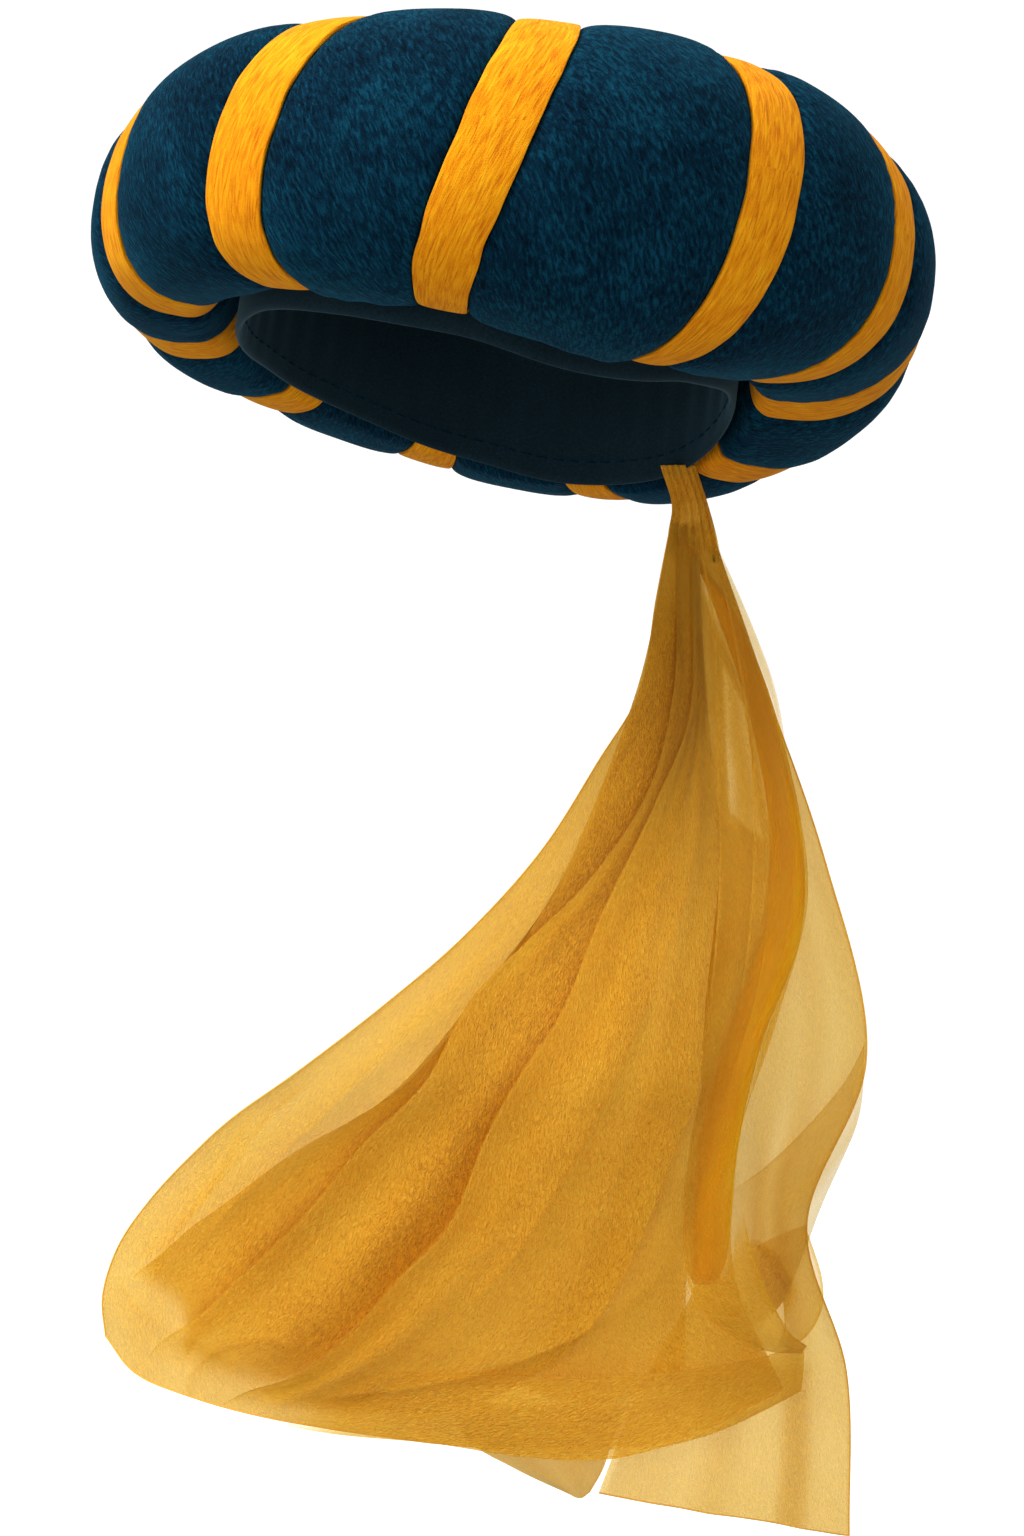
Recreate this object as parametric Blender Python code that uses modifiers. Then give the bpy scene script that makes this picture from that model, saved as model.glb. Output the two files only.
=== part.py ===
# Turban with veil: a stuffed velvet roll bound with gold bands, on a headband with a domed crown,
# and a gathered organza veil with a velvet streamer that falls from the rim at the back left.
# Metres, +Z up, -Y to the hat's front, +X to its left side as it is worn. The origin is the seat,
# the middle of the headband's rim.

import math

import bmesh
import bpy
import numpy as np

MM = 0.001
GAP = 0.3
CLOTH = 1.2
MERGE = 0.0001

# Hat: the ring lies in its own frame, tilted back. Sizes in mm, angles in degrees.
HAT_TILT = 14.9
RING_LIFT = 35.1
RING_HALF_WIDTH = 98.4
RING_HALF_DEPTH = 103.9
HOLLOW_HALF_WIDTH = 79.0
HOLLOW_HALF_DEPTH = 90.0
HOLLOW_SET_BACK = 6.0
OUTER_ROUND = 0.92
INNER_ROUND = 0.6
SECTION_STEPS = 20

# The roll's section round the ring: 0 is the left side, 90 the back, 270 the front.
# reach = from the centreline out, height = half height, lift = rise of the centreline,
# sag = how much further the underside hangs.
ROLL_SECTIONS = (
    {"angle": 0, "reach": 44.6, "height": 42.4, "lift": 6.8, "sag": 6.5},
    {"angle": 30, "reach": 42.8, "height": 36.8, "lift": 5.8, "sag": 0.5},
    {"angle": 60, "reach": 42.2, "height": 33.5, "lift": -3.9, "sag": 0.0},
    {"angle": 90, "reach": 43.3, "height": 33.9, "lift": -7.8, "sag": 0.0},
    {"angle": 120, "reach": 43.7, "height": 35.8, "lift": -1.0, "sag": 0.0},
    {"angle": 150, "reach": 40.7, "height": 36.5, "lift": 4.9, "sag": 0.0},
    {"angle": 180, "reach": 34.6, "height": 35.1, "lift": 3.0, "sag": 0.0},
    {"angle": 210, "reach": 29.3, "height": 34.0, "lift": 0.0, "sag": 0.5},
    {"angle": 240, "reach": 28.7, "height": 35.8, "lift": -0.1, "sag": 3.0},
    {"angle": 270, "reach": 33.5, "height": 40.6, "lift": -2.0, "sag": 3.0},
    {"angle": 300, "reach": 40.2, "height": 45.3, "lift": -4.8, "sag": 1.0},
    {"angle": 330, "reach": 44.4, "height": 46.1, "lift": -0.9, "sag": 7.0},
)

# The gold bands: angle on the ring, lean from bottom to top, bow towards the outside, width in mm.
GOLD_BANDS = (
    {"angle": 5.8, "lean": -3.8, "bow": -0.8, "width": 18.0},
    {"angle": 33.5, "lean": -2.0, "bow": -1.0, "width": 22.0},
    {"angle": 66.0, "lean": 0.0, "bow": 0.0, "width": 22.0},
    {"angle": 98.0, "lean": 0.0, "bow": 0.0, "width": 22.0},
    {"angle": 130.0, "lean": 0.0, "bow": 0.0, "width": 22.0},
    {"angle": 162.0, "lean": 0.0, "bow": 0.0, "width": 22.0},
    {"angle": 194.0, "lean": 0.0, "bow": 0.0, "width": 22.0},
    {"angle": 226.0, "lean": 4.0, "bow": 3.0, "width": 22.0},
    {"angle": 269.6, "lean": 5.8, "bow": -2.6, "width": 23.5},
    {"angle": 301.5, "lean": 5.6, "bow": 0.0, "width": 22.0},
    {"angle": 336.8, "lean": 0.0, "bow": 0.0, "width": 20.0},
)
BAND_THICK = 1.5
GROOVE_DEPTH = 3.0
# Height of the velvet between two bands, from one band's edge to the next.
PUFF = ({"across": 0.06, "rise": -1.0}, {"across": 0.28, "rise": 0.4}, {"across": 0.5, "rise": 0.8},
        {"across": 0.72, "rise": 0.4}, {"across": 0.94, "rise": -1.0})

# The velvet puffs up on the outside, and lies flat on the inner side past these cosines.
FLAT_FROM = -0.75
FULL_FROM = -0.15

WALL_GAP = 0.4
HEADBAND_THICK = 2.5
HEADBAND_TOP = 10.0
LIP_RISE = 2.2
HEADBAND_STEPS = 48
CROWN_THICK = 2.0
CROWN_SEAT = 0.8
CROWN_SEAM = 0.3
CROWN_RISE = 54.0
CROWN_STEPS = 40
CROWN_RINGS = 14

# The crown's four panels: name, which side they are on, and which end.
CROWN_PANELS = (
    ("crown_front_left", 1.0, -1.0),
    ("crown_front_right", -1.0, -1.0),
    ("crown_back_left", 1.0, 1.0),
    ("crown_back_right", -1.0, 1.0),
)

# Veil: it faces 30 degrees to the left of straight ahead. Across, up and out in mm.
# Its middle lies far back at the top, comes forwards as it falls, and then hangs straight.
VEIL_TURN = 30.0
TOP_OUT = -46.0
TOP_UP = -45.0
FALL_OUT = 55.0
FALL_UP = -230.0
LEFT_CURL = {"from": -60.0, "rate": 0.005}
RIGHT_CURL = {"from": 50.0, "rate": 0.009}

# The gather, from the headband's rim down to where the cloth opens.
GATHER_SECTIONS = (
    {"up": -24.6, "across": 62.6, "out": -48.4, "half_width": 6.0, "half_depth": 3.6},
    {"up": -38.0, "across": 66.7, "out": -48.5, "half_width": 6.2, "half_depth": 4.4},
    {"up": -48.0, "across": 67.4, "out": -48.2, "half_width": 8.2, "half_depth": 4.6},
    {"up": -57.2, "across": 68.4, "out": -47.2, "half_width": 10.6, "half_depth": 5.0},
)
GATHER_FLUTES = 8
GATHER_STEPS = 32
FLUTE_DEPTH = 0.10

# Each fold of the front sheet, from its upper edge to its right one: how far it stands out, then
# (across, up) at six stations from the gather to the hem.
FRONT_FOLDS = (
    {"relief": -1.0, "path": ((57.6, -58.2), (49, -101), (17, -155), (-33, -204), (-91, -245), (-119, -285))},
    {"relief": 2.0, "path": ((59.3, -58.2), (52, -107), (25, -163), (-26, -215), (-86, -262), (-119, -299))},
    {"relief": 5.0, "path": ((61.3, -58.2), (57, -111), (32, -167), (-18, -222), (-66, -274), (-108, -312))},
    {"relief": -4.5, "path": ((63.3, -58.2), (60, -113), (36, -169), (-6, -228), (-50, -284), (-92, -318))},
    {"relief": 6.0, "path": ((65.3, -58.2), (63, -115), (40, -168), (5, -231), (-33, -291), (-73, -322))},
    {"relief": -5.0, "path": ((67.2, -58.2), (66, -117), (48, -172), (22, -240), (-10, -300), (-46, -327))},
    {"relief": 4.0, "path": ((69.2, -58.2), (69, -119), (58, -175), (42, -244), (14, -304), (-19, -331))},
    {"relief": -3.0, "path": ((71.2, -58.2), (72, -120), (69, -176), (57, -243), (38, -300), (16, -334))},
    {"relief": 2.0, "path": ((73.2, -58.2), (77, -123), (79, -170), (61, -243), (52, -294), (54, -330))},
    {"relief": -1.0, "path": ((75.2, -58.2), (81, -125), (88, -162), (65, -242), (63, -287), (95, -314))},
)
# Each fold of the back sheet, the same at seven stations from the gather to the tail's hem.
BACK_FOLDS = (
    {"relief": 0.0, "path": ((60, -58.2), (66, -100), (67, -156), (66, -220), (70, -274),
                             (47, -321), (34, -354))},
    {"relief": 2.0, "path": ((64, -58.2), (71, -100), (77, -156), (78, -221), (77, -275),
                             (63, -322), (52, -357))},
    {"relief": -2.0, "path": ((68, -58.2), (77, -100), (86, -156), (91, -223), (83, -275),
                              (78, -323), (70, -361))},
    {"relief": 3.0, "path": ((71, -58.2), (83, -99), (96, -156), (104, -225), (90, -274),
                             (93, -323), (88, -366))},
    {"relief": -2.0, "path": ((75, -58.2), (88, -98), (105, -157), (114, -227), (96, -273),
                              (106, -323), (103, -373))},
    {"relief": 0.0, "path": ((78.5, -58.2), (91.5, -97), (110.5, -157), (122.5, -226), (100, -272),
                             (117, -322), (116, -378))},
)
STREAMER_PATH = ({"across": 70.0, "up": -58.2, "half_width": 2.5},
                 {"across": 78.0, "up": -73.0, "half_width": 3.0},
                 {"across": 89.0, "up": -104.0, "half_width": 4.0},
                 {"across": 96.0, "up": -147.0, "half_width": 5.0},
                 {"across": 93.0, "up": -177.0, "half_width": 6.5},
                 {"across": 78.0, "up": -211.0, "half_width": 6.5},
                 {"across": 70.0, "up": -243.0, "half_width": 6.4},
                 {"across": 67.0, "up": -288.0, "half_width": 5.6})
STREAMER_THICK = 1.5
# How far each layer lies in front of the veil's middle, at the top and where it hangs straight.
LAYERS = {"front": (2.6, 9.0), "streamer": (0.0, 0.0), "back": (-2.6, -13.0)}
RELIEF_AT_TOP = 0.12
SUB_FOLDS = 3
ROWS_A_STATION = {"front": 4, "back": 4, "streamer": 4}
TURN_RADIUS = 4.0
TURN_STEPS = 4
HEM_RETURN = 30.0
HEM_STEPS = 3

COLOURS = {
    "teal_velvet": (0.006, 0.055, 0.085, 0.9),
    "gold_velvet": (0.85, 0.33, 0.02, 0.9),
    "dark_lining": (0.004, 0.018, 0.026, 0.95),
    "organza": (0.75, 0.42, 0.07, 0.6),
    "streamer": (0.85, 0.30, 0.01, 0.85),
}


def clear_scene():
    for obj in list(bpy.data.objects):
        bpy.data.objects.remove(obj, do_unlink=True)


def material(name):
    red, green, blue, rough = COLOURS[name]
    mat = bpy.data.materials.new(name)
    mat.use_nodes = True
    shader = mat.node_tree.nodes["Principled BSDF"]
    shader.inputs["Base Color"].default_value = (red, green, blue, 1.0)
    shader.inputs["Roughness"].default_value = rough
    shader.inputs["Metallic"].default_value = 0.0
    return mat


def frame_empty(name, location, rotation, collection):
    empty = bpy.data.objects.new(name, None)
    empty.location = location
    empty.rotation_euler = rotation
    collection.objects.link(empty)
    return empty


def add_object(name, bm, mat, parent, collection):
    mesh = bpy.data.meshes.new(name)
    bmesh.ops.recalc_face_normals(bm, faces=bm.faces)
    bm.to_mesh(mesh)
    bm.free()
    mesh.materials.append(mat)
    mesh.shade_smooth()
    obj = bpy.data.objects.new(name, mesh)
    obj.parent = parent
    collection.objects.link(obj)
    return obj


def solidify(obj, thickness, offset):
    wall = obj.modifiers.new("wall", "SOLIDIFY")
    wall.thickness = thickness * MM
    wall.offset = offset
    wall.use_even_offset = False
    return wall


def grid_mesh(points, wrap_rows, wrap_columns):
    """Triangles over a grid of points in mm; rows and columns may close on themselves."""
    bm = bmesh.new()
    rows = [[bm.verts.new(np.asarray(p, float) * MM) for p in row] for row in points]
    row_count, column_count = len(rows), len(rows[0])
    for i in range(row_count if wrap_rows else row_count - 1):
        for j in range(column_count if wrap_columns else column_count - 1):
            a = rows[i][j]
            b = rows[(i + 1) % row_count][j]
            c = rows[(i + 1) % row_count][(j + 1) % column_count]
            d = rows[i][(j + 1) % column_count]
            bm.faces.new((a, b, c))
            bm.faces.new((a, c, d))
    return bm


def between(start, end, low, high, x):
    return ((high - x) * start + (x - low) * end) / (high - low)


def through(points, t):
    """A smooth curve that passes through the points: t = 0, 1, 2 ... are the points themselves."""
    pts = [np.asarray(p, float) for p in points]
    pts = [2 * pts[0] - pts[1]] + pts + [2 * pts[-1] - pts[-2]]
    i = min(int(t), len(pts) - 4)
    a, b, c, d = pts[i:i + 4]
    kb = math.sqrt(np.linalg.norm(b - a))
    kc = kb + math.sqrt(np.linalg.norm(c - b))
    kd = kc + math.sqrt(np.linalg.norm(d - c))
    x = kb + (t - i) * (kc - kb)
    ab = between(a, b, 0.0, kb, x)
    bc = between(b, c, kb, kc, x)
    cd = between(c, d, kc, kd, x)
    return between(between(ab, bc, 0.0, kc, x), between(bc, cd, kb, kd, x), kb, kc, x)


def shaped(value, power):
    return math.copysign(abs(value) ** power, value)


def ring_value(angle, column):
    """A roll size at any angle, smooth from one listed section to the next and closed round the ring."""
    step = 360.0 / len(ROLL_SECTIONS)
    place = (angle % 360.0) / step
    i = int(place)
    f = place - i
    a, b, c, d = (ROLL_SECTIONS[(i + k) % len(ROLL_SECTIONS)][column] for k in (-1, 0, 1, 2))
    return b + 0.5 * f * (c - a + f * (2 * a - 5 * b + 4 * c - d + f * (3 * (b - c) + d - a)))


def section_frame(angle):
    """The centreline point at an angle and the outward direction there."""
    u = math.radians(angle)
    centre = np.array([RING_HALF_WIDTH * math.cos(u), RING_HALF_DEPTH * math.sin(u)])
    out = np.array([math.cos(u) / RING_HALF_WIDTH, math.sin(u) / RING_HALF_DEPTH])
    return centre, out / np.linalg.norm(out)


def inward_reach(angle, inset):
    """From the centreline in to the hollow's oval, made smaller all round by inset."""
    centre, out = section_frame(angle)
    half = np.array([HOLLOW_HALF_WIDTH - inset, HOLLOW_HALF_DEPTH - inset])
    start = (centre - np.array([0.0, HOLLOW_SET_BACK])) / half
    along = -out / half
    a = along @ along
    b = start @ along
    c = start @ start - 1.0
    return (-b - math.sqrt(b * b - a * c)) / a


def roll_point(angle, turn, rise):
    """A point of the roll's skin: turn 0 is outermost, 90 the top; rise lifts it off the skin."""
    v = math.radians(turn)
    centre, out = section_frame(angle)
    cosine = math.cos(v)
    if cosine >= 0:
        offset = (ring_value(angle, "reach") + rise) * shaped(cosine, OUTER_ROUND)
    else:
        offset = (inward_reach(angle, 0.0) + rise) * shaped(cosine, INNER_ROUND)
    x, y = centre + out * offset
    sine = math.sin(v)
    height = ring_value(angle, "height") + rise + (ring_value(angle, "sag") if sine < 0 else 0.0)
    return (x, y, ring_value(angle, "lift") + height * shaped(sine, OUTER_ROUND))


def band_angle(band, turn):
    v = math.radians(turn)
    return band["angle"] + band["lean"] * math.sin(v) + band["bow"] * math.cos(v)


def half_angle(band, extra):
    """Half a band's width as an angle on the ring, plus extra mm."""
    radius = RING_HALF_WIDTH + ring_value(band["angle"], "reach")
    return math.degrees((band["width"] / 2 + extra) / radius)


def puff_share(turn):
    """1 where the velvet puffs up between the bands, 0 on the roll's inner side."""
    share = (math.cos(math.radians(turn)) - FLAT_FROM) / (FULL_FROM - FLAT_FROM)
    return min(max(share, 0.0), 1.0)


def section_turns():
    return [360.0 * k / SECTION_STEPS for k in range(SECTION_STEPS)]


def roll_columns():
    """Every line across the roll: both edges of each groove, and the puffed lines between."""
    for band, after in zip(GOLD_BANDS, GOLD_BANDS[1:] + GOLD_BANDS[:1]):
        yield [(band_angle(band, t) - half_angle(band, GAP), -GROOVE_DEPTH, t) for t in section_turns()]
        yield [(band_angle(band, t) + half_angle(band, GAP), -GROOVE_DEPTH, t) for t in section_turns()]
        for line in PUFF:
            column = []
            for t in section_turns():
                start = band_angle(band, t) + half_angle(band, GAP)
                end = band_angle(after, t) - half_angle(after, GAP)
                end += 360.0 if end < start else 0.0
                rise = line["rise"]
                rise = rise * puff_share(t) if rise > 0 else rise
                column.append((start + line["across"] * (end - start), rise, t))
            yield column


def make_roll(mat, parent, collection):
    columns = [[roll_point(angle, turn, rise) for angle, rise, turn in column]
               for column in roll_columns()]
    bm = grid_mesh(columns, True, True)
    return add_object("roll", bm, mat, parent, collection)


def make_band(number, band, mat, parent, collection):
    """A strip of velvet wrapped right round the roll, lying in its groove."""
    low = GAP - GROOVE_DEPTH
    corners = ((-1, low), (1, low), (1, low + BAND_THICK), (-1, low + BAND_THICK))
    loops = [[roll_point(band_angle(band, t) + side * half_angle(band, 0.0), t, rise)
              for t in section_turns()] for side, rise in corners]
    bm = grid_mesh(loops, True, True)
    return add_object(f"gold_band_{number:02d}", bm, mat, parent, collection)


def make_headband(mat, parent, collection):
    """An oval wall inside the roll, whose rim shows as a thin lip below its front."""
    rings = []
    angles = [360.0 * k / HEADBAND_STEPS for k in range(HEADBAND_STEPS)]
    for share in (0.0, 0.5, 1.0):
        ring = []
        for angle in angles:
            centre, out = section_frame(angle)
            x, y = centre - out * inward_reach(angle, WALL_GAP)
            rim = ring_value(angle, "lift") - ring_value(angle, "height") + LIP_RISE
            ring.append((x, y, rim + share * (HEADBAND_TOP - rim)))
        rings.append(ring)
    obj = add_object("headband", grid_mesh(rings, False, True), mat, parent, collection)
    solidify(obj, HEADBAND_THICK, -1.0)
    return obj


def make_crown_panel(name, side, end, mat, parent, collection):
    """A quarter of the plain domed cap that stands on the headband; the four meet at seams over its middle."""
    bm = bmesh.new()
    bmesh.ops.create_uvsphere(bm, u_segments=CROWN_STEPS, v_segments=CROWN_RINGS, radius=1.0)
    outside = [v for v in bm.verts if min(v.co.z, v.co.x * side, v.co.y * end) < -MERGE]
    bmesh.ops.delete(bm, geom=outside, context="VERTS")
    half_width = (HOLLOW_HALF_WIDTH - WALL_GAP - CROWN_SEAM) * MM
    half_depth = (HOLLOW_HALF_DEPTH - WALL_GAP - CROWN_SEAM) * MM
    bmesh.ops.scale(bm, vec=(half_width, half_depth, CROWN_RISE * MM), verts=bm.verts)
    bmesh.ops.triangulate(bm, faces=bm.faces)
    obj = add_object(name, bm, mat, parent, collection)
    set_back = HOLLOW_SET_BACK + end * CROWN_SEAM
    obj.location = (side * CROWN_SEAM * MM, set_back * MM, (HEADBAND_TOP + CROWN_SEAT) * MM)
    solidify(obj, CROWN_THICK, -1.0)
    return obj


def eased(value):
    value = min(max(value, 0.0), 1.0)
    return value * value * (3.0 - 2.0 * value)


def drop_share(up):
    """0 at the gather, 1 where the veil hangs straight."""
    return eased((TOP_UP - up) / (TOP_UP - FALL_UP))


def hang_out(across, up):
    """How far out the veil's middle lies, curling back towards both of its sides."""
    out = TOP_OUT + (FALL_OUT - TOP_OUT) * drop_share(up)
    out -= LEFT_CURL["rate"] * max(LEFT_CURL["from"] - across, 0.0) ** 2
    out -= RIGHT_CURL["rate"] * max(across - RIGHT_CURL["from"], 0.0) ** 2
    return out


def layer_out(layer, up):
    near, far = LAYERS[layer]
    return near + (far - near) * drop_share(up)


def veil_point(layer, across, up, relief=0.0, back=0.0):
    """A veil point in the veil's own frame, whose -Y looks outwards."""
    share = RELIEF_AT_TOP + (1.0 - RELIEF_AT_TOP) * drop_share(up)
    out = hang_out(across, up) + layer_out(layer, up) + relief * share - back
    return (across, -out, up)


def fold_lines(layer, folds):
    """The table's folds with finer lines between them, as lists of (across, up, relief)."""
    stations = len(folds[0]["path"])
    lines = []
    for k in range((len(folds) - 1) * SUB_FOLDS + 1):
        t = k / SUB_FOLDS
        marks = [through([fold["path"][s] for fold in folds], t) for s in range(stations)]
        relief = through([(n, fold["relief"]) for n, fold in enumerate(folds)], t)[1]
        rows = (stations - 1) * ROWS_A_STATION[layer]
        path = [through(marks, r / ROWS_A_STATION[layer]) for r in range(rows + 1)]
        lines.append([(across, up, relief) for across, up in path])
    return lines


def turned_under(line):
    """The rows past the hem, where the cloth rolls under and goes back up behind itself."""
    (a0, u0, _), (across, up, relief) = line[-2], line[-1]
    length = math.hypot(across - a0, up - u0)
    along = ((across - a0) / length, (up - u0) / length)
    rows = []
    for k in range(1, TURN_STEPS + 1):
        bend = math.pi * k / TURN_STEPS
        rows.append((TURN_RADIUS * math.sin(bend), TURN_RADIUS * (1.0 - math.cos(bend))))
    for k in range(1, HEM_STEPS + 1):
        rows.append((-HEM_RETURN * k / HEM_STEPS, 2.0 * TURN_RADIUS))
    return [veil_point("front", across + along[0] * ahead, up + along[1] * ahead, relief, back)
            for ahead, back in rows]


def make_front(mat, parent, collection):
    """The front sheet: folds that fan from the gather, sweep to the right and turn under."""
    columns = []
    for line in fold_lines("front", FRONT_FOLDS):
        column = [veil_point("front", *mark) for mark in line]
        columns.append(column + turned_under(line))
    obj = add_object("veil_front", grid_mesh(columns, False, False), mat, parent, collection)
    solidify(obj, CLOTH, 0.0)
    return obj


def make_back(mat, parent, collection):
    """The back sheet: it hangs behind the streamer, draws in at the twist and ends in the tail."""
    columns = [[veil_point("back", *mark) for mark in line] for line in fold_lines("back", BACK_FOLDS)]
    obj = add_object("veil_back", grid_mesh(columns, False, False), mat, parent, collection)
    solidify(obj, CLOTH, 0.0)
    return obj


def make_streamer(mat, parent, collection):
    """A narrow velvet strip that hangs between the two sheets."""
    marks = [(s["across"], s["up"], s["half_width"]) for s in STREAMER_PATH]
    steps = (len(marks) - 1) * ROWS_A_STATION["streamer"]
    path = [through(marks, k / ROWS_A_STATION["streamer"]) for k in range(steps + 1)]
    columns = []
    for side in (-1.0, 0.0, 1.0):
        column = []
        for k, (across, up, half) in enumerate(path):
            ahead, behind = path[min(k + 1, steps)], path[max(k - 1, 0)]
            run = np.array([ahead[0] - behind[0], ahead[1] - behind[1]])
            run /= np.linalg.norm(run)
            edge = (across - side * half * run[1], up + side * half * run[0])
            edge = (edge[0], up) if k == 0 else edge
            column.append(veil_point("streamer", *edge))
        columns.append(column)
    obj = add_object("gold_streamer", grid_mesh(columns, False, False), mat, parent, collection)
    solidify(obj, STREAMER_THICK, 0.0)
    return obj


def make_gather(mat, parent, collection):
    """The fluted bunch of gathered cloth, from the headband's rim down to the open folds."""
    rings = []
    for section in GATHER_SECTIONS:
        ring = []
        for k in range(GATHER_STEPS):
            angle = 2.0 * math.pi * k / GATHER_STEPS
            swell = 1.0 - FLUTE_DEPTH * (1.0 - math.cos(GATHER_FLUTES * angle))
            across = section["across"] + section["half_width"] * swell * math.cos(angle)
            out = section["out"] + section["half_depth"] * swell * math.sin(angle)
            ring.append((across, -out, section["up"]))
        rings.append(ring)
    bm = grid_mesh(rings, False, True)
    bmesh.ops.holes_fill(bm, edges=[e for e in bm.edges if e.is_boundary])
    bmesh.ops.triangulate(bm, faces=[f for f in bm.faces if len(f.verts) > 3])
    return add_object("veil_gather", bm, mat, parent, collection)


def main():
    clear_scene()
    collection = bpy.data.collections.new("turban_with_veil")
    bpy.context.scene.collection.children.link(collection)
    mats = {name: material(name) for name in COLOURS}
    hat = frame_empty("hat", (0.0, 0.0, RING_LIFT * MM), (-math.radians(HAT_TILT), 0.0, 0.0), collection)
    veil = frame_empty("veil", (0.0, 0.0, 0.0), (0.0, 0.0, math.radians(VEIL_TURN)), collection)
    make_roll(mats["teal_velvet"], hat, collection)
    for number, band in enumerate(GOLD_BANDS, 1):
        make_band(number, band, mats["gold_velvet"], hat, collection)
    make_headband(mats["dark_lining"], hat, collection)
    for name, side, end in CROWN_PANELS:
        make_crown_panel(name, side, end, mats["teal_velvet"], hat, collection)
    make_gather(mats["organza"], veil, collection)
    make_front(mats["organza"], veil, collection)
    make_back(mats["organza"], veil, collection)
    make_streamer(mats["streamer"], veil, collection)


main()
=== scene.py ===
import math

import bmesh
import bpy
import numpy as np
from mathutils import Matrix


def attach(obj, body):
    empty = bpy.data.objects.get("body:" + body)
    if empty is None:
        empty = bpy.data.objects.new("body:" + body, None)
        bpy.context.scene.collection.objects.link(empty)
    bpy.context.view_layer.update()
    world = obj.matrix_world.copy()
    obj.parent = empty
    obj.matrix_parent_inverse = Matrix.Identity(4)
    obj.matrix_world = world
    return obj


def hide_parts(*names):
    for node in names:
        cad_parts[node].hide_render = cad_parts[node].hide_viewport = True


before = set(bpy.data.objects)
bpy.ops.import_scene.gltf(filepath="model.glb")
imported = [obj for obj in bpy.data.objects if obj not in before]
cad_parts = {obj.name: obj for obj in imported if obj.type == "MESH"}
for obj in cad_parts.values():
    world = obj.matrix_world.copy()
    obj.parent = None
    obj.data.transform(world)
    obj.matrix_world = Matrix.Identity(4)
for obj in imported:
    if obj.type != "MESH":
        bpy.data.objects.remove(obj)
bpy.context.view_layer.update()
scene = bpy.context.scene
print("frame loaded with", len(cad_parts), "solids")

mm = 0.001


# Nodes: a pin is a node's output that can be used in sums, and a net is one node tree.
class Pin:
    def __init__(self, net, socket):
        self.net = net
        self.socket = socket

    def maths(self, operation, first, second=0.0):
        return self.net.node("ShaderNodeMath", {"operation": operation}, {0: first, 1: second})

    def __add__(self, other):
        return self.maths("ADD", self, other)

    def __radd__(self, other):
        return self.maths("ADD", other, self)

    def __sub__(self, other):
        return self.maths("SUBTRACT", self, other)

    def __rsub__(self, other):
        return self.maths("SUBTRACT", other, self)

    def __mul__(self, other):
        return self.maths("MULTIPLY", self, other)

    def __rmul__(self, other):
        return self.maths("MULTIPLY", other, self)

    def __rpow__(self, other):
        return self.maths("POWER", other, self)


class Net:
    def __init__(self, tree):
        self.tree = tree

    def node(self, kind, settings=None, inputs=None, output=0):
        made = self.tree.nodes.new(kind)
        for name, value in (settings or {}).items():
            if name == "stops":
                setStops(made.color_ramp, value)
            else:
                setattr(made, name, value)
        for key, value in (inputs or {}).items():
            if isinstance(value, Pin):
                self.tree.links.new(value.socket, made.inputs[key])
            else:
                made.inputs[key].default_value = value
        return Pin(self, made.outputs[output]) if made.outputs else made

    def mixColour(self, factor, first, second):
        # 6, 7 and 2 are the Mix node's colour sockets
        return self.node("ShaderNodeMix", {"data_type": "RGBA"}, {0: factor, 6: first, 7: second}, 2)

    def noise(self, place, scale, detail=2.0, roughness=0.5, distortion=0.0):
        return self.node("ShaderNodeTexNoise", None, {"Vector": place, "Scale": scale, "Detail": detail,
                                                      "Roughness": roughness, "Distortion": distortion})


def setStops(ramp, stops):
    for place, colour in stops[2:]:
        ramp.elements.new(place)
    for element, (place, colour) in zip(ramp.elements, stops):
        element.position = place
        element.color = colour


def newMaterial(name):
    material = bpy.data.materials.new(name)
    material.use_nodes = True
    material.node_tree.nodes.clear()
    return material, Net(material.node_tree)


# Velvet: a short pile with a fine knit grain that runs slantwise, brushed into lighter and darker patches.
def velvet(name, look):
    material, net = newMaterial(name)
    cloth = net.node("ShaderNodeUVMap", {"uv_map": "cloth"})
    place = net.node("ShaderNodeTexCoord", None, None, 3)
    turned = net.node("ShaderNodeMapping", {"vector_type": "TEXTURE"},
                      {"Vector": cloth, "Rotation": (0, 0, look["grainTurn"]), "Scale": look["grain"]})
    grain = net.noise(turned, 1.0, 2.0, 0.55, 0.6)
    fuzz = net.noise(place, look["fuzz"], 2.0, 0.6)
    brushed = net.noise(place, look["patch"], 3.0, 0.55, 0.6)
    tone = grain * look["ribs"] + fuzz * 0.2 + brushed * look["brushed"]
    colour = net.node("ShaderNodeValToRGB", {"stops": look["stops"]}, {"Fac": tone})
    height = grain * 0.8 + fuzz * 0.35
    bump = net.node("ShaderNodeBump", None,
                    {"Strength": look["bump"], "Distance": look["depth"], "Height": height})
    shader = net.node("ShaderNodeBsdfPrincipled", None, {
        "Base Color": colour, "Roughness": look["roughness"], "Sheen Weight": look["sheen"],
        "Sheen Roughness": look["sheenRoughness"], "Sheen Tint": look["sheenTint"],
        "Specular IOR Level": look["specular"], "Normal": bump})
    net.node("ShaderNodeOutputMaterial", None, {"Surface": shader})
    return material


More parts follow.
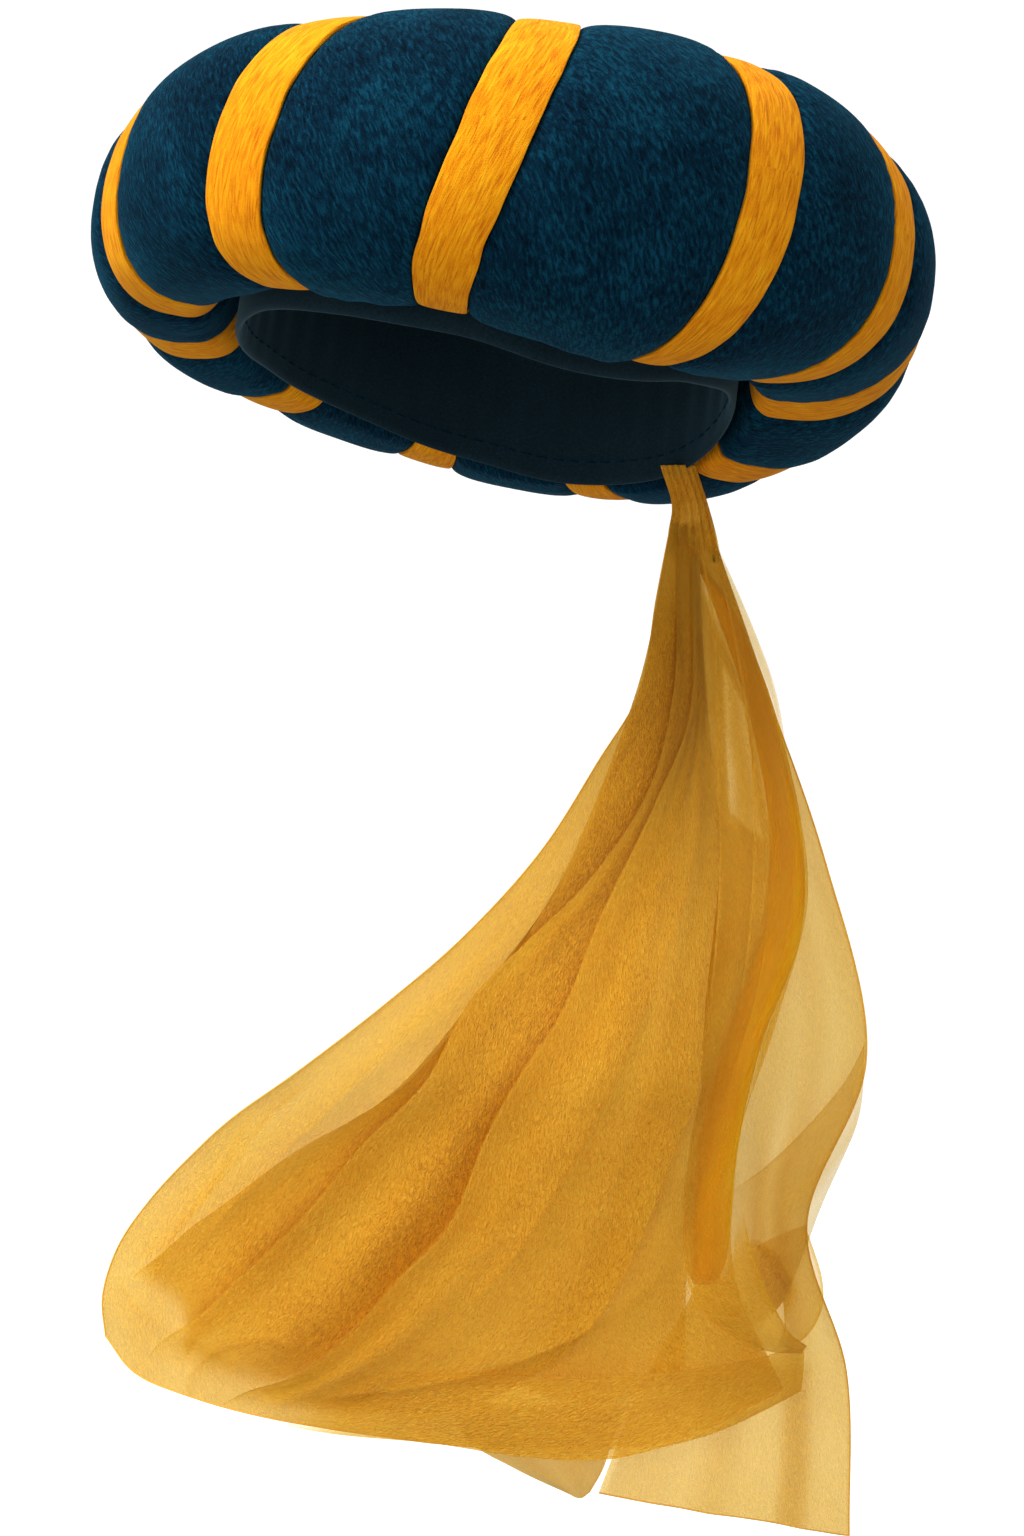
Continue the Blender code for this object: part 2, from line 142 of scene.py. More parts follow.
# Organza: sheer cloth. The attribute ply says how many plies lie on each other at a point, and also holds
# the painted shade beside the pleat edges; the tint of what shows through follows it, so that a sheet that
# thins out to nothing leaves no edge.
def organza(name, look):
    material, net = newMaterial(name)
    cloth = net.node("ShaderNodeUVMap", {"uv_map": "cloth"})
    ply = net.node("ShaderNodeAttribute", {"attribute_name": "ply"}, None, 2)
    turned = net.node("ShaderNodeMapping", {"vector_type": "TEXTURE"},
                      {"Vector": cloth, "Rotation": (0, 0, look["crinkleTurn"]), "Scale": look["crinkle"]})
    crinkle = net.noise(turned, 1.0, 2.0, 0.55, 1.2)
    speck = net.noise(cloth, look["speck"], 1.5, 0.6)
    soft = net.noise(cloth, look["patch"], 2.5, 0.5)
    weave = crinkle * 0.9 + speck * 0.3 + soft * 0.3 - 0.15
    cover = 1.0 - look["open"] ** (ply * (0.5 + weave * 0.8))
    # more ply darkens the colour: deeper where plies lie on each other, and painted shade where the crease
    # laps add to ply
    tone = weave + 0.16 - ply * look["deepensWithPlyAndShade"]
    colour = net.node("ShaderNodeValToRGB", {"stops": look["stops"]}, {"Fac": tone})
    bump = net.node("ShaderNodeBump", None,
                    {"Strength": look["bump"], "Distance": look["depth"], "Height": crinkle + speck * 0.3})
    front = net.node("ShaderNodeBsdfPrincipled", None, {
        "Base Color": colour, "Roughness": look["roughness"], "Sheen Weight": look["sheen"],
        "Sheen Roughness": 0.45, "Sheen Tint": look["sheenTint"], "Specular IOR Level": 0.25,
        "Normal": bump})
    glow = net.node("ShaderNodeBsdfTranslucent", None, {"Color": look["glow"], "Normal": bump})
    body = net.node("ShaderNodeMixShader", None, {0: look["lit through"], 1: front, 2: glow})
    tint = net.mixColour(ply, (1.0, 1.0, 1.0, 1.0), look["clear"])
    clear = net.node("ShaderNodeBsdfTransparent", None, {"Color": tint})
    shader = net.node("ShaderNodeMixShader", None, {0: cover, 1: clear, 2: body})
    net.node("ShaderNodeOutputMaterial", None, {"Surface": shader})
    return material


tealLook = {"grain": (0.0011, 0.0032, 1), "grainTurn": 0.5, "ribs": 0.6, "fuzz": 2200, "patch": 30,
            "brushed": 0.32, "bump": 0.9, "depth": 0.0007, "roughness": 0.95, "sheen": 0.16,
            "sheenRoughness": 0.3, "sheenTint": (0.02, 0.34, 0.55, 1), "specular": 0.04,
            "stops": ((0.40, (0.0002, 0.0035, 0.009, 1)), (0.56, (0.0007, 0.016, 0.034, 1)),
                      (0.74, (0.003, 0.055, 0.096, 1)))}
goldLook = {"grain": (0.0080, 0.0011, 1), "grainTurn": 0.08, "ribs": 0.7, "fuzz": 2200, "patch": 40,
            "brushed": 0.25, "bump": 0.9, "depth": 0.0007, "roughness": 0.9, "sheen": 0.12,
            "sheenRoughness": 0.4, "sheenTint": (1.0, 0.6, 0.1, 1), "specular": 0.1,
            "stops": ((0.38, (0.56, 0.14, 0.001, 1)), (0.56, (0.82, 0.28, 0.002, 1)),
                      (0.74, (0.94, 0.42, 0.008, 1)))}
liningLook = {"grain": (0.0011, 0.0011, 1), "grainTurn": 0.0, "ribs": 0.6, "fuzz": 1800, "patch": 30,
              "brushed": 0.3, "bump": 0.3, "depth": 0.0003, "roughness": 0.9, "sheen": 0.1,
              "sheenRoughness": 0.5, "sheenTint": (0.2, 0.5, 0.6, 1), "specular": 0.15,
              "stops": ((0.38, (0.001, 0.007, 0.012, 1)), (0.60, (0.003, 0.015, 0.023, 1)),
                        (0.80, (0.006, 0.026, 0.038, 1)))}
organzaLook = {"crinkle": (0.0006, 0.0019, 1), "crinkleTurn": -0.35, "speck": 2200, "patch": 30,
               "open": 0.42, "deepensWithPlyAndShade": 0.085, "bump": 1.0, "depth": 0.0012, "roughness": 0.5, "sheen": 0.1,
               "sheenTint": (1.0, 0.82, 0.45, 1), "glow": (1.0, 0.50, 0.03, 1),
               "clear": (0.96, 0.80, 0.36, 1), "lit through": 0.25,
               "stops": ((0.20, (0.46, 0.165, 0.002, 1)), (0.50, (0.95, 0.44, 0.014, 1)),
                         (0.80, (1.0, 0.61, 0.045, 1)))}
streamerLook = dict(goldLook, grain=(0.0011, 0.0080, 1), stops=(
    (0.38, (1.0, 0.40, 0.001, 1)), (0.56, (1.0, 0.48, 0.001, 1)), (0.74, (1.0, 0.58, 0.005, 1))))
threadLook = dict(goldLook, grain=(0.002, 0.002, 1), stops=(
    (0.38, (0.90, 0.42, 0.02, 1)), (0.56, (1.0, 0.54, 0.05, 1)), (0.74, (1.0, 0.66, 0.10, 1))))
tealVelvet = velvet("tealVelvet", tealLook)
goldVelvet = velvet("goldVelvet", goldLook)
darkLining = velvet("darkLining", liningLook)
goldStrip = velvet("streamerVelvet", streamerLook)
goldThread = velvet("goldThread", threadLook)
goldOrganza = organza("goldOrganza", organzaLook)
print("materials made")


# Meshes: a grid of points becomes a piece, with its cloth map in metres and its own attributes.
def gridPiece(name, points, cloth, material, closed=(False, False), marks=None):
    rows, columns = points.shape[:2]
    rowSteps = np.arange(rows if closed[0] else rows - 1)
    columnSteps = np.arange(columns if closed[1] else columns - 1)
    i, j = (grid.ravel() for grid in np.meshgrid(rowSteps, columnSteps, indexing="ij"))
    corners = [(i, j), (i + 1, j), (i + 1, j + 1), (i, j + 1)]
    faces = np.stack([(a % rows) * columns + b % columns for a, b in corners], axis=1)
    mesh = bpy.data.meshes.new(name)
    mesh.from_pydata(points.reshape(-1, 3), [], faces.tolist())
    uv = np.stack([cloth[a, b] for a, b in corners], axis=1)
    mesh.uv_layers.new(name="cloth").data.foreach_set("uv", uv.astype(np.float32).ravel())
    for mark, values in (marks or {}).items():
        made = mesh.attributes.new(mark, "FLOAT", "POINT")
        made.data.foreach_set("value", np.asarray(values, np.float32).ravel())
    if all(closed):
        tidy = bmesh.new()
        tidy.from_mesh(mesh)
        bmesh.ops.recalc_face_normals(tidy, faces=tidy.faces)
        tidy.to_mesh(mesh)
        tidy.free()
    mesh.shade_smooth()
    mesh.materials.append(material)
    piece = bpy.data.objects.new(name, mesh)
    scene.collection.objects.link(piece)
    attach(piece, "root")
    return piece


def clothMap(points, closed=(False, False)):
    # distances along the grid's middle lines, in metres
    rows, columns = points.shape[:2]
    down = np.vstack([points, points[:1]]) if closed[0] else points
    across = np.hstack([points, points[:, :1]]) if closed[1] else points
    v = np.concatenate([[0.0], np.cumsum(np.linalg.norm(np.diff(down, axis=0), axis=2).max(axis=1))])
    u = np.concatenate([[0.0], np.cumsum(np.linalg.norm(np.diff(across, axis=1), axis=2).max(axis=0))])
    return np.stack(np.meshgrid(v, u, indexing="ij")[::-1], axis=2)


def lumps(place, length, seed, waves=12):
    # soft unevenness of about 1, from a few waves that cross each other
    rng = np.random.default_rng(seed)
    total = np.zeros(place.shape[:-1])
    for _ in range(waves):
        direction = rng.normal(size=place.shape[-1])
        direction *= 2 * math.pi / (length * rng.uniform(0.7, 1.6) * np.linalg.norm(direction))
        total += np.sin(place @ direction + rng.uniform(0, 2 * math.pi))
    return total / math.sqrt(waves)


def eased(value):
    value = np.clip(value, 0.0, 1.0)
    return value * value * (3.0 - 2.0 * value)


def curveThrough(marks, count):
    # a smooth curve through the marks, with its points evenly spaced
    marks = np.asarray(marks, float)
    ends = np.vstack([2 * marks[0] - marks[1], marks, 2 * marks[-1] - marks[-2]])
    chord = np.maximum(np.linalg.norm(np.diff(ends, axis=0), axis=1), 1e-6)
    knots = np.concatenate([[0.0], np.cumsum(np.sqrt(chord))])
    t = np.concatenate([np.linspace(knots[i], knots[i + 1], 20, endpoint=False)
                        for i in range(1, len(ends) - 2)] + [[knots[-2]]])
    at = np.clip(np.searchsorted(knots, t, side="right") - 1, 1, len(ends) - 3)
    a, b, c, d = (ends[at + k] for k in (-1, 0, 1, 2))
    ka, kb, kc, kd = (knots[at + k][:, None] for k in (-1, 0, 1, 2))
    t = t[:, None]
    ab = ((kb - t) * a + (t - ka) * b) / (kb - ka)
    bc = ((kc - t) * b + (t - kb) * c) / (kc - kb)
    cd = ((kd - t) * c + (t - kc) * d) / (kd - kc)
    abc = ((kc - t) * ab + (t - ka) * bc) / (kc - ka)
    bcd = ((kd - t) * bc + (t - kb) * cd) / (kd - kb)
    curve = ((kc - t) * abc + (t - kb) * bcd) / (kc - kb)
    run = np.concatenate([[0.0], np.cumsum(np.linalg.norm(np.diff(curve, axis=0), axis=1))])
    even = np.linspace(0.0, run[-1], count)
    return np.stack([np.interp(even, run, curve[:, k]) for k in range(curve.shape[1])], axis=1)


# Geometry Nodes trees: both take a bare path of edges.
def newTree(name, sizes):
    tree = bpy.data.node_groups.new(name, "GeometryNodeTree")
    sockets = tree.interface
    sockets.new_socket("Path", in_out="INPUT", socket_type="NodeSocketGeometry")
    for size, value in sizes.items():
        sockets.new_socket(size, in_out="INPUT", socket_type="NodeSocketFloat").default_value = value
    sockets.new_socket("Material", in_out="INPUT", socket_type="NodeSocketMaterial")
    sockets.new_socket("Result", in_out="OUTPUT", socket_type="NodeSocketGeometry")
    net = Net(tree)
    start = tree.nodes.new("NodeGroupInput")
    return tree, net, {socket.name: Pin(net, socket) for socket in start.outputs if socket.name}


def endTree(net, shape, material):
    real = net.node("GeometryNodeRealizeInstances", None, {"Geometry": shape})
    dressed = net.node("GeometryNodeSetMaterial", None, {"Geometry": real, "Material": material})
    net.node("NodeGroupOutput", None, {0: dressed})


def hemTree():
    # a rolled edge: a thin tube along the path, a little thicker in places
    tree, net, given = newTree("rolledHem", {"Thickness": 0.0007, "Spacing": 0.0018, "Unevenness": 0.5})
    path = net.node("GeometryNodeMeshToCurve", None, {"Mesh": given["Path"]})
    path = net.node("GeometryNodeResampleCurve", {"mode": "LENGTH"},
                    {"Curve": path, "Length": given["Spacing"]})
    place = net.node("GeometryNodeInputPosition")
    uneven = net.noise(place, 160.0, 2.0)
    thick = 1.0 + (uneven - 0.5) * given["Unevenness"]
    path = net.node("GeometryNodeSetCurveRadius", None, {"Curve": path, "Radius": thick})
    section = net.node("GeometryNodeCurvePrimitiveCircle", None,
                       {"Resolution": 6, "Radius": given["Thickness"] * 0.5})
    tube = net.node("GeometryNodeCurveToMesh", None,
                    {"Curve": path, "Profile Curve": section, "Fill Caps": True})
    endTree(net, tube, given["Material"])
    return tree


def stitchTree():
    # running stitches: short threads set one after the other along the path
    tree, net, given = newTree("runningStitch", {"Spacing": 0.006, "Length": 0.0035, "Thickness": 0.0006})
    path = net.node("GeometryNodeMeshToCurve", None, {"Mesh": given["Path"]})
    path = net.node("GeometryNodeResampleCurve", {"mode": "LENGTH"},
                    {"Curve": path, "Length": given["Spacing"]})
    thread = net.node("GeometryNodeMeshCylinder", {"fill_type": "TRIANGLE_FAN"}, {
        "Vertices": 6, "Side Segments": 1, "Radius": given["Thickness"] * 0.5, "Depth": given["Length"]})
    along = net.node("GeometryNodeInputTangent")
    turn = net.node("FunctionNodeAlignRotationToVector", {"axis": "Z"}, {"Vector": along})
    threads = net.node("GeometryNodeInstanceOnPoints", None,
                       {"Points": path, "Instance": thread, "Rotation": turn})
    endTree(net, threads, given["Material"])
    return tree


def alongPaths(name, paths, tree, material, sizes, closed=False):
    mesh = bpy.data.meshes.new(name)
    edges, first = [], 0
    for path in paths:
        count = len(path)
        edges += [(first + k, first + k + 1) for k in range(count - 1)]
        if closed:
            edges.append((first + count - 1, first))
        first += count
    mesh.from_pydata(np.concatenate(paths), edges, [])
    piece = bpy.data.objects.new(name, mesh)
    scene.collection.objects.link(piece)
    modifier = piece.modifiers.new(tree.name, "NODES")
    modifier.node_group = tree
    given = dict(sizes, Material=material)
    for socket in tree.interface.items_tree:
        if socket.in_out == "INPUT" and socket.name in given:
            modifier[socket.identifier] = given[socket.name]
    made = bpy.data.meshes.new_from_object(piece.evaluated_get(bpy.context.evaluated_depsgraph_get()))
    piece.modifiers.remove(modifier)
    piece.data = made
    made.shade_smooth()
    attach(piece, "root")
    return piece


hem = {"Thickness": 0.0005, "Spacing": 0.0018, "Unevenness": 0.6}
stitch = {"Spacing": 0.0058, "Length": 0.0036, "Thickness": 0.0006}
rolledEdge = hemTree()
runningStitch = stitchTree()


def rolledHem(name, paths):
    piece = alongPaths(name, paths, rolledEdge, goldThread, hem)
    return piece


# The hat lies in its own frame, in millimetres, tilted back.
hat = {"tilt": 14.9, "lift": 35.1, "halfWidth": 98.4, "halfDepth": 103.9, "hollowHalfWidth": 79.0,
       "hollowHalfDepth": 90.0, "setBack": 6.0, "outerRound": 0.92, "innerRound": 0.6}

# The roll's section round the ring: 0 is the left side, 90 the back, 270 the front.
rollSections = (
    {"angle": 0, "reach": 44.6, "height": 42.4, "lift": 6.8, "sag": 6.5},
    {"angle": 30, "reach": 42.8, "height": 36.8, "lift": 5.8, "sag": 0.5},
    {"angle": 60, "reach": 42.2, "height": 33.5, "lift": -3.9, "sag": 0.0},
    {"angle": 90, "reach": 43.3, "height": 33.9, "lift": -7.8, "sag": 0.0},
    {"angle": 120, "reach": 43.7, "height": 35.8, "lift": -1.0, "sag": 0.0},
    {"angle": 150, "reach": 40.7, "height": 36.5, "lift": 4.9, "sag": 0.0},
    {"angle": 180, "reach": 34.6, "height": 35.1, "lift": 3.0, "sag": 0.0},
    {"angle": 210, "reach": 29.3, "height": 34.0, "lift": 0.0, "sag": 0.5},
    {"angle": 240, "reach": 28.7, "height": 35.8, "lift": -0.1, "sag": 3.0},
    {"angle": 270, "reach": 33.5, "height": 40.6, "lift": -2.0, "sag": 3.0},
    {"angle": 300, "reach": 40.2, "height": 45.3, "lift": -4.8, "sag": 1.0},
    {"angle": 330, "reach": 44.4, "height": 46.1, "lift": -0.9, "sag": 7.0},
)
goldBands = (
    {"angle": 5.8, "lean": -3.8, "bow": -0.8, "width": 18.0},
    {"angle": 33.5, "lean": -2.0, "bow": -1.0, "width": 22.0},
    {"angle": 66.0, "lean": 0.0, "bow": 0.0, "width": 22.0},
    {"angle": 98.0, "lean": 0.0, "bow": 0.0, "width": 22.0},
    {"angle": 130.0, "lean": 0.0, "bow": 0.0, "width": 22.0},
    {"angle": 162.0, "lean": 0.0, "bow": 0.0, "width": 22.0},
    {"angle": 194.0, "lean": 0.0, "bow": 0.0, "width": 22.0},
    {"angle": 226.0, "lean": 4.0, "bow": 3.0, "width": 22.0},
    {"angle": 269.6, "lean": 5.8, "bow": -2.6, "width": 23.5},
    {"angle": 301.5, "lean": 5.6, "bow": 0.0, "width": 22.0},
    {"angle": 336.8, "lean": 0.0, "bow": 0.0, "width": 20.0},
)


def ringValue(angle, column):
    values = np.array([row[column] for row in rollSections])
    place = np.mod(angle, 360.0) / (360.0 / len(values))
    i = np.floor(place).astype(int)
    f = place - i
    a, b, c, d = (values[(i + k) % len(values)] for k in (-1, 0, 1, 2))
    return b + 0.5 * f * (c - a + f * (2 * a - 5 * b + 4 * c - d + f * (3 * (b - c) + d - a)))


def sectionFrame(angle):
    u = np.radians(angle)
    centre = np.stack([hat["halfWidth"] * np.cos(u), hat["halfDepth"] * np.sin(u)], axis=-1)
    out = np.stack([np.cos(u) / hat["halfWidth"], np.sin(u) / hat["halfDepth"]], axis=-1)
    return centre, out / np.linalg.norm(out, axis=-1, keepdims=True)


def inwardReach(angle, inset):
    # from the roll's centreline in to the hollow's oval, made smaller all round by inset
    centre, out = sectionFrame(angle)
    half = np.array([hat["hollowHalfWidth"], hat["hollowHalfDepth"]]) - inset
    start = (centre - np.array([0.0, hat["setBack"]])) / half
    along = -out / half
    a = (along * along).sum(axis=-1)
    b = (start * along).sum(axis=-1)
    c = (start * start).sum(axis=-1) - 1.0
    return (-b - np.sqrt(b * b - a * c)) / a


def rollPoint(angle, turn, rise):
    # a point of the roll's skin in mm: turn 0 is outermost, 90 the top
    v = np.radians(turn)
    centre, out = sectionFrame(angle)
    cosine, sine = np.cos(v), np.sin(v)
    outer = (ringValue(angle, "reach") + rise) * np.abs(cosine) ** hat["outerRound"]
    inner = -(inwardReach(angle, 0.0) + rise) * np.abs(cosine) ** hat["innerRound"]
    side = centre + out * np.where(cosine >= 0, outer, inner)[..., None]
    height = ringValue(angle, "height") + rise + np.where(sine < 0, ringValue(angle, "sag"), 0.0)
    up = ringValue(angle, "lift") + height * np.sign(sine) * np.abs(sine) ** hat["outerRound"]
    return np.concatenate([side, up[..., None]], axis=-1)


def fromHat(points):
    # the hat's own frame in mm to the world in metres
    tilt = math.radians(hat["tilt"])
    x, y, z = points[..., 0], points[..., 1], points[..., 2]
    return np.stack([x, y * math.cos(tilt) + z * math.sin(tilt),
                     z * math.cos(tilt) - y * math.sin(tilt) + hat["lift"]], axis=-1) * mm


def bandAngle(band, turn):
    v = np.radians(turn)
    return band["angle"] + band["lean"] * np.sin(v) + band["bow"] * np.cos(v)


def halfAngle(band, extra):
    radius = hat["halfWidth"] + ringValue(band["angle"], "reach")
    return np.degrees((band["width"] / 2 + extra) / radius)


# Roll: stuffed velvet that the bands pull in, with small pulls beside each band and puckers below.
roll = {"turns": 150, "puffColumns": 50, "grooveColumns": 5, "groove": -3.0, "puff": 3.8, "puffPower": 3.2,
        "puffRound": 0.5, "lump": 0.35, "lumpLength": 46.0, "pull": 0.22, "pullReach": 8.0,
        "pullLength": 8.0, "pucker": 0.5, "puckerLength": 17.0, "grooveEdge": 0.3, "meanRadius": 140.0,
        "swayLength": 60.0, "puckerRadius": 95.0}


def rollColumns():
    turn = np.linspace(0.0, 360.0, roll["turns"], endpoint=False)
    angles, rises, edges = [], [], []
    for band, after in zip(goldBands, goldBands[1:] + goldBands[:1]):
        start = bandAngle(band, turn) + halfAngle(band, roll["grooveEdge"])
        end = bandAngle(after, turn) - halfAngle(after, roll["grooveEdge"])
        end = end + np.where(end < start, 360.0, 0.0)
        low = bandAngle(band, turn) - halfAngle(band, roll["grooveEdge"])
        for share in np.arange(roll["grooveColumns"]) / roll["grooveColumns"]:
            angles.append(low + share * (start - low))
            rises.append(np.full_like(turn, roll["groove"]))
            edges.append(np.zeros_like(turn))
        spread = np.linspace(0.0, 1.0, roll["puffColumns"])
        spread = 0.5 - 0.5 * np.cos(math.pi * spread) * (0.6 + 0.4 * np.abs(np.cos(math.pi * spread)))
        for share in spread:
            angles.append(start + share * (end - start))
            crest = (1.0 - abs(2 * share - 1) ** roll["puffPower"]) ** roll["puffRound"]
            rises.append(np.full_like(turn, roll["groove"] + roll["puff"] * crest))
            edges.append(np.minimum(share, 1 - share) * np.radians(end - start) * roll["meanRadius"])
    return np.array(angles), np.tile(turn, (len(angles), 1)), np.array(rises), np.array(edges)


def makeRoll():
    angle, turn, rise, edge = rollColumns()
    skin = rollPoint(angle, turn, 0.0)
    along = np.cumsum(np.linalg.norm(np.diff(skin, axis=1, prepend=skin[:, :1]), axis=2), axis=1)
    below = eased((-np.sin(np.radians(turn)) - 0.2) / 0.6) * eased((0.1 - np.cos(np.radians(turn))) / 0.6)
    inner = eased((-np.cos(np.radians(turn)) - 0.15) / 0.6)
    puffed = edge > 0
    sway = lumps(skin, roll["swayLength"], 3)
    soft = roll["lump"] * lumps(skin, roll["lumpLength"], 5)
    pulls = np.sin(2 * math.pi * (along / roll["pullLength"] + 0.7 * sway))
    pulls = pulls * np.exp(-edge / roll["pullReach"])
    around = np.radians(angle) * roll["puckerRadius"] / roll["puckerLength"]
    puckers = np.sin(2 * math.pi * (around + 0.8 * sway)) * below
    crest = np.clip((rise - roll["groove"]) / 2.0, 0.0, 1.0)
    relief = soft + roll["pull"] * pulls * (1 + below) + roll["pucker"] * puckers
    rise = rise + np.where(puffed, crest, 0.0) * relief * (1 - inner)
    rise = np.where(inner > 0, np.minimum(rise, 0.2 + 0.6 * (1 - inner)), rise)
    points = fromHat(rollPoint(angle, turn, rise))
    cloth = np.zeros((len(angle) + 1, roll["turns"] + 1, 2))
    ring = np.radians(np.vstack([angle, angle[:1] + 360.0])) * 0.13
    cloth[:, :-1, 0], cloth[:, -1, 0] = ring, ring[:, 0]
    length = np.linalg.norm(skin[:, 0] - skin[:, -1], axis=1)
    cloth[:-1, :-1, 1] = along * mm
    cloth[:-1, -1, 1] = (along[:, -1] + length) * mm
    cloth[-1, :, 1] = cloth[0, :, 1]
    piece = gridPiece("stuffedRoll", points, cloth, tealVelvet, (True, True))
    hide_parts("roll")


# Gold bands: strips of velvet wrapped right round the roll and pulled tight.
bandCut = {"turns": 170, "across": 15, "low": -2.7, "top": -1.4, "arch": 0.55, "edgeWave": 0.18,
           "edgeGap": 0.05, "lump": 0.12, "lumpLength": 16.0}


def makeBands():
    turn = np.linspace(0.0, 360.0, bandCut["turns"], endpoint=False)
    across = np.sin(np.linspace(-math.pi / 2, math.pi / 2, bandCut["across"]))
    side = np.concatenate([across, across[::-1]])
    onTop = np.arange(len(side)) < bandCut["across"]
    for number, band in enumerate(goldBands, 1):
        node = f"gold_band_{number:02d}"
        sway = lumps(np.stack([np.cos(np.radians(turn)), np.sin(np.radians(turn))], axis=1), 0.35, number)
        half = halfAngle(band, 0.0) + np.degrees(bandCut["edgeWave"] * sway / roll["meanRadius"])
        half = half - bandCut["edgeGap"]
        angle = bandAngle(band, turn) + half * side[:, None]
        lift = bandCut["top"] + bandCut["arch"] * np.sqrt(np.maximum(1.0 - side ** 2, 0.0))
        turns = np.tile(turn, (len(side), 1))
        uneven = bandCut["lump"] * lumps(rollPoint(angle, turns, 0.0), bandCut["lumpLength"], 40 + number)
        rise = np.where(onTop, lift, bandCut["low"])[:, None] + np.where(onTop, 1.0, 0.0)[:, None] * uneven
        points = fromHat(rollPoint(angle, turns, rise))
        cloth = clothMap(points, (True, True))
        piece = gridPiece(f"velvetBand{number:02d}", points, cloth, goldVelvet, (True, True))
        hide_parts(node)


# Headband and crown: the plain parts inside the ring.
lining = {"wallGap": 0.4, "thick": 2.4, "top": 10.0, "steps": 240, "drop": 1.2, "gathers": 46,
          "gatherDepth": 0.35, "rimLump": 0.5, "rimLumpLength": 45.0, "rimShare": 0.06,
          "stitchShare": 0.16, "stitchGap": 0.1, "crownSeat": 0.8, "crownRise": 54.0, "crownThick": 2.0,
          "crownGathers": 34, "crownGatherDepth": 0.7, "crownRings": 60, "crownSteps": 272}


def makeHeadband():
    angle = np.linspace(0.0, 360.0, lining["steps"], endpoint=False)
    centre, out = sectionFrame(angle)
    edge = centre - out * inwardReach(angle, lining["wallGap"])[:, None]
    rim = ringValue(angle, "lift") - ringValue(angle, "height") - ringValue(angle, "sag") - lining["drop"]
    uneven = lumps(np.stack([edge[:, 0], edge[:, 1]], axis=1), lining["rimLumpLength"], 8)
    rim = rim + lining["rimLump"] * uneven
    # the wall's section: how far in, and where between rim and top
    outward = [(0.0, s) for s in np.linspace(1.0, lining["rimShare"], 14)]
    bend = [(lining["thick"] * (0.5 - 0.5 * math.cos(b)), lining["rimShare"] - 0.05 * math.sin(b))
            for b in np.linspace(0.15, math.pi - 0.15, 7)]
    inward = [(lining["thick"], s) for s in np.linspace(lining["rimShare"], 1.0, 14)]
    rows = []
    u = np.radians(angle)
    pleat = lining["gatherDepth"] * np.sin(u * lining["gathers"] + 1.4 * np.sin(3 * u))
    for inset, share in outward + bend + inward:
        deep = inset + (pleat * 4 * share * (1 - share) if inset > lining["thick"] / 2 else 0.0)
        place = edge - out * np.broadcast_to(deep, angle.shape)[:, None]
        rows.append(np.column_stack([place, rim + share * (lining["top"] - rim)]))
    points = fromHat(np.array(rows))
    piece = gridPiece("headbandLining", points, clothMap(points, (True, True)), darkLining, (True, True))
    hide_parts("headband")
    inside = edge - out * (lining["thick"] + lining["stitchGap"])
    return fromHat(np.column_stack([inside, rim + lining["stitchShare"] * (lining["top"] - rim)]))


def makeCrown():
    u = np.linspace(0.0, 2 * math.pi, lining["crownSteps"], endpoint=False)
    shells = []
    for inset, order in ((0.0, 1), (lining["crownThick"], -1)):
        climb = np.linspace(0.0, math.pi / 2 - 0.02, lining["crownRings"])[::order]
        for rise in climb:
            gather = lining["crownGatherDepth"] * np.sin(u * lining["crownGathers"] + 1.2 * np.sin(2 * u))
            gather = gather * (math.cos(rise) ** 1.5) * (1 - math.exp(-rise * 9))
            gather = gather - lining["crownGatherDepth"]
            wide = lining["wallGap"] + inset - gather * (1 if order == 1 else 0.5)
            x = (hat["hollowHalfWidth"] - wide) * np.cos(u) * math.cos(rise)
            y = (hat["hollowHalfDepth"] - wide) * np.sin(u) * math.cos(rise) + hat["setBack"]
            z = (lining["crownRise"] - inset) * math.sin(rise) + lining["top"] + lining["crownSeat"]
            shells.append(np.column_stack([x, y, np.full_like(x, z)]))
    points = fromHat(np.array(shells))
    piece = gridPiece("crownCap", points, clothMap(points, (True, True)), tealVelvet, (True, True))
    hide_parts(*[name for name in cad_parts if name.startswith("crown_")])


makeRoll()
makeBands()
rimStitches = alongPaths("rimStitches", [makeHeadband()], runningStitch, tealVelvet, stitch, True)
makeCrown()
print("roll, bands, headband and crown made")

# The veil hangs in a frame turned 30 degrees to the left: across, up and out, in millimetres.
veil = {"turn": 30.0, "topOut": -46.0, "topUp": -45.0, "fallOut": 55.0, "fallUp": -230.0,
        "leftFrom": -60.0, "leftRate": 0.005, "rightFrom": 50.0, "rightRate": 0.009, "topShare": 0.12,
        "streakSize": (20.0, 170.0), "streakPly": 0.10, "patchLength": 30.0, "leastPly": 0.3,
        "edgePly": 0.45, "hemWidth": 0.7, "foldPly": 0.9, "foldWidth": 0.6, "linePoints": 300,
        "leastShare": 0.301}


def dropShare(up):
    return eased((veil["topUp"] - up) / (veil["topUp"] - veil["fallUp"]))


def hangOut(across, up):
    out = veil["topOut"] + (veil["fallOut"] - veil["topOut"]) * dropShare(up)
    out = out - veil["leftRate"] * np.maximum(veil["leftFrom"] - across, 0.0) ** 2
    return out - veil["rightRate"] * np.maximum(across - veil["rightFrom"], 0.0) ** 2


def fromVeil(across, up, out):
    turn = math.radians(veil["turn"])
    return np.stack([across * math.cos(turn) + out * math.sin(turn),
                     across * math.sin(turn) - out * math.cos(turn), up], axis=-1) * mm


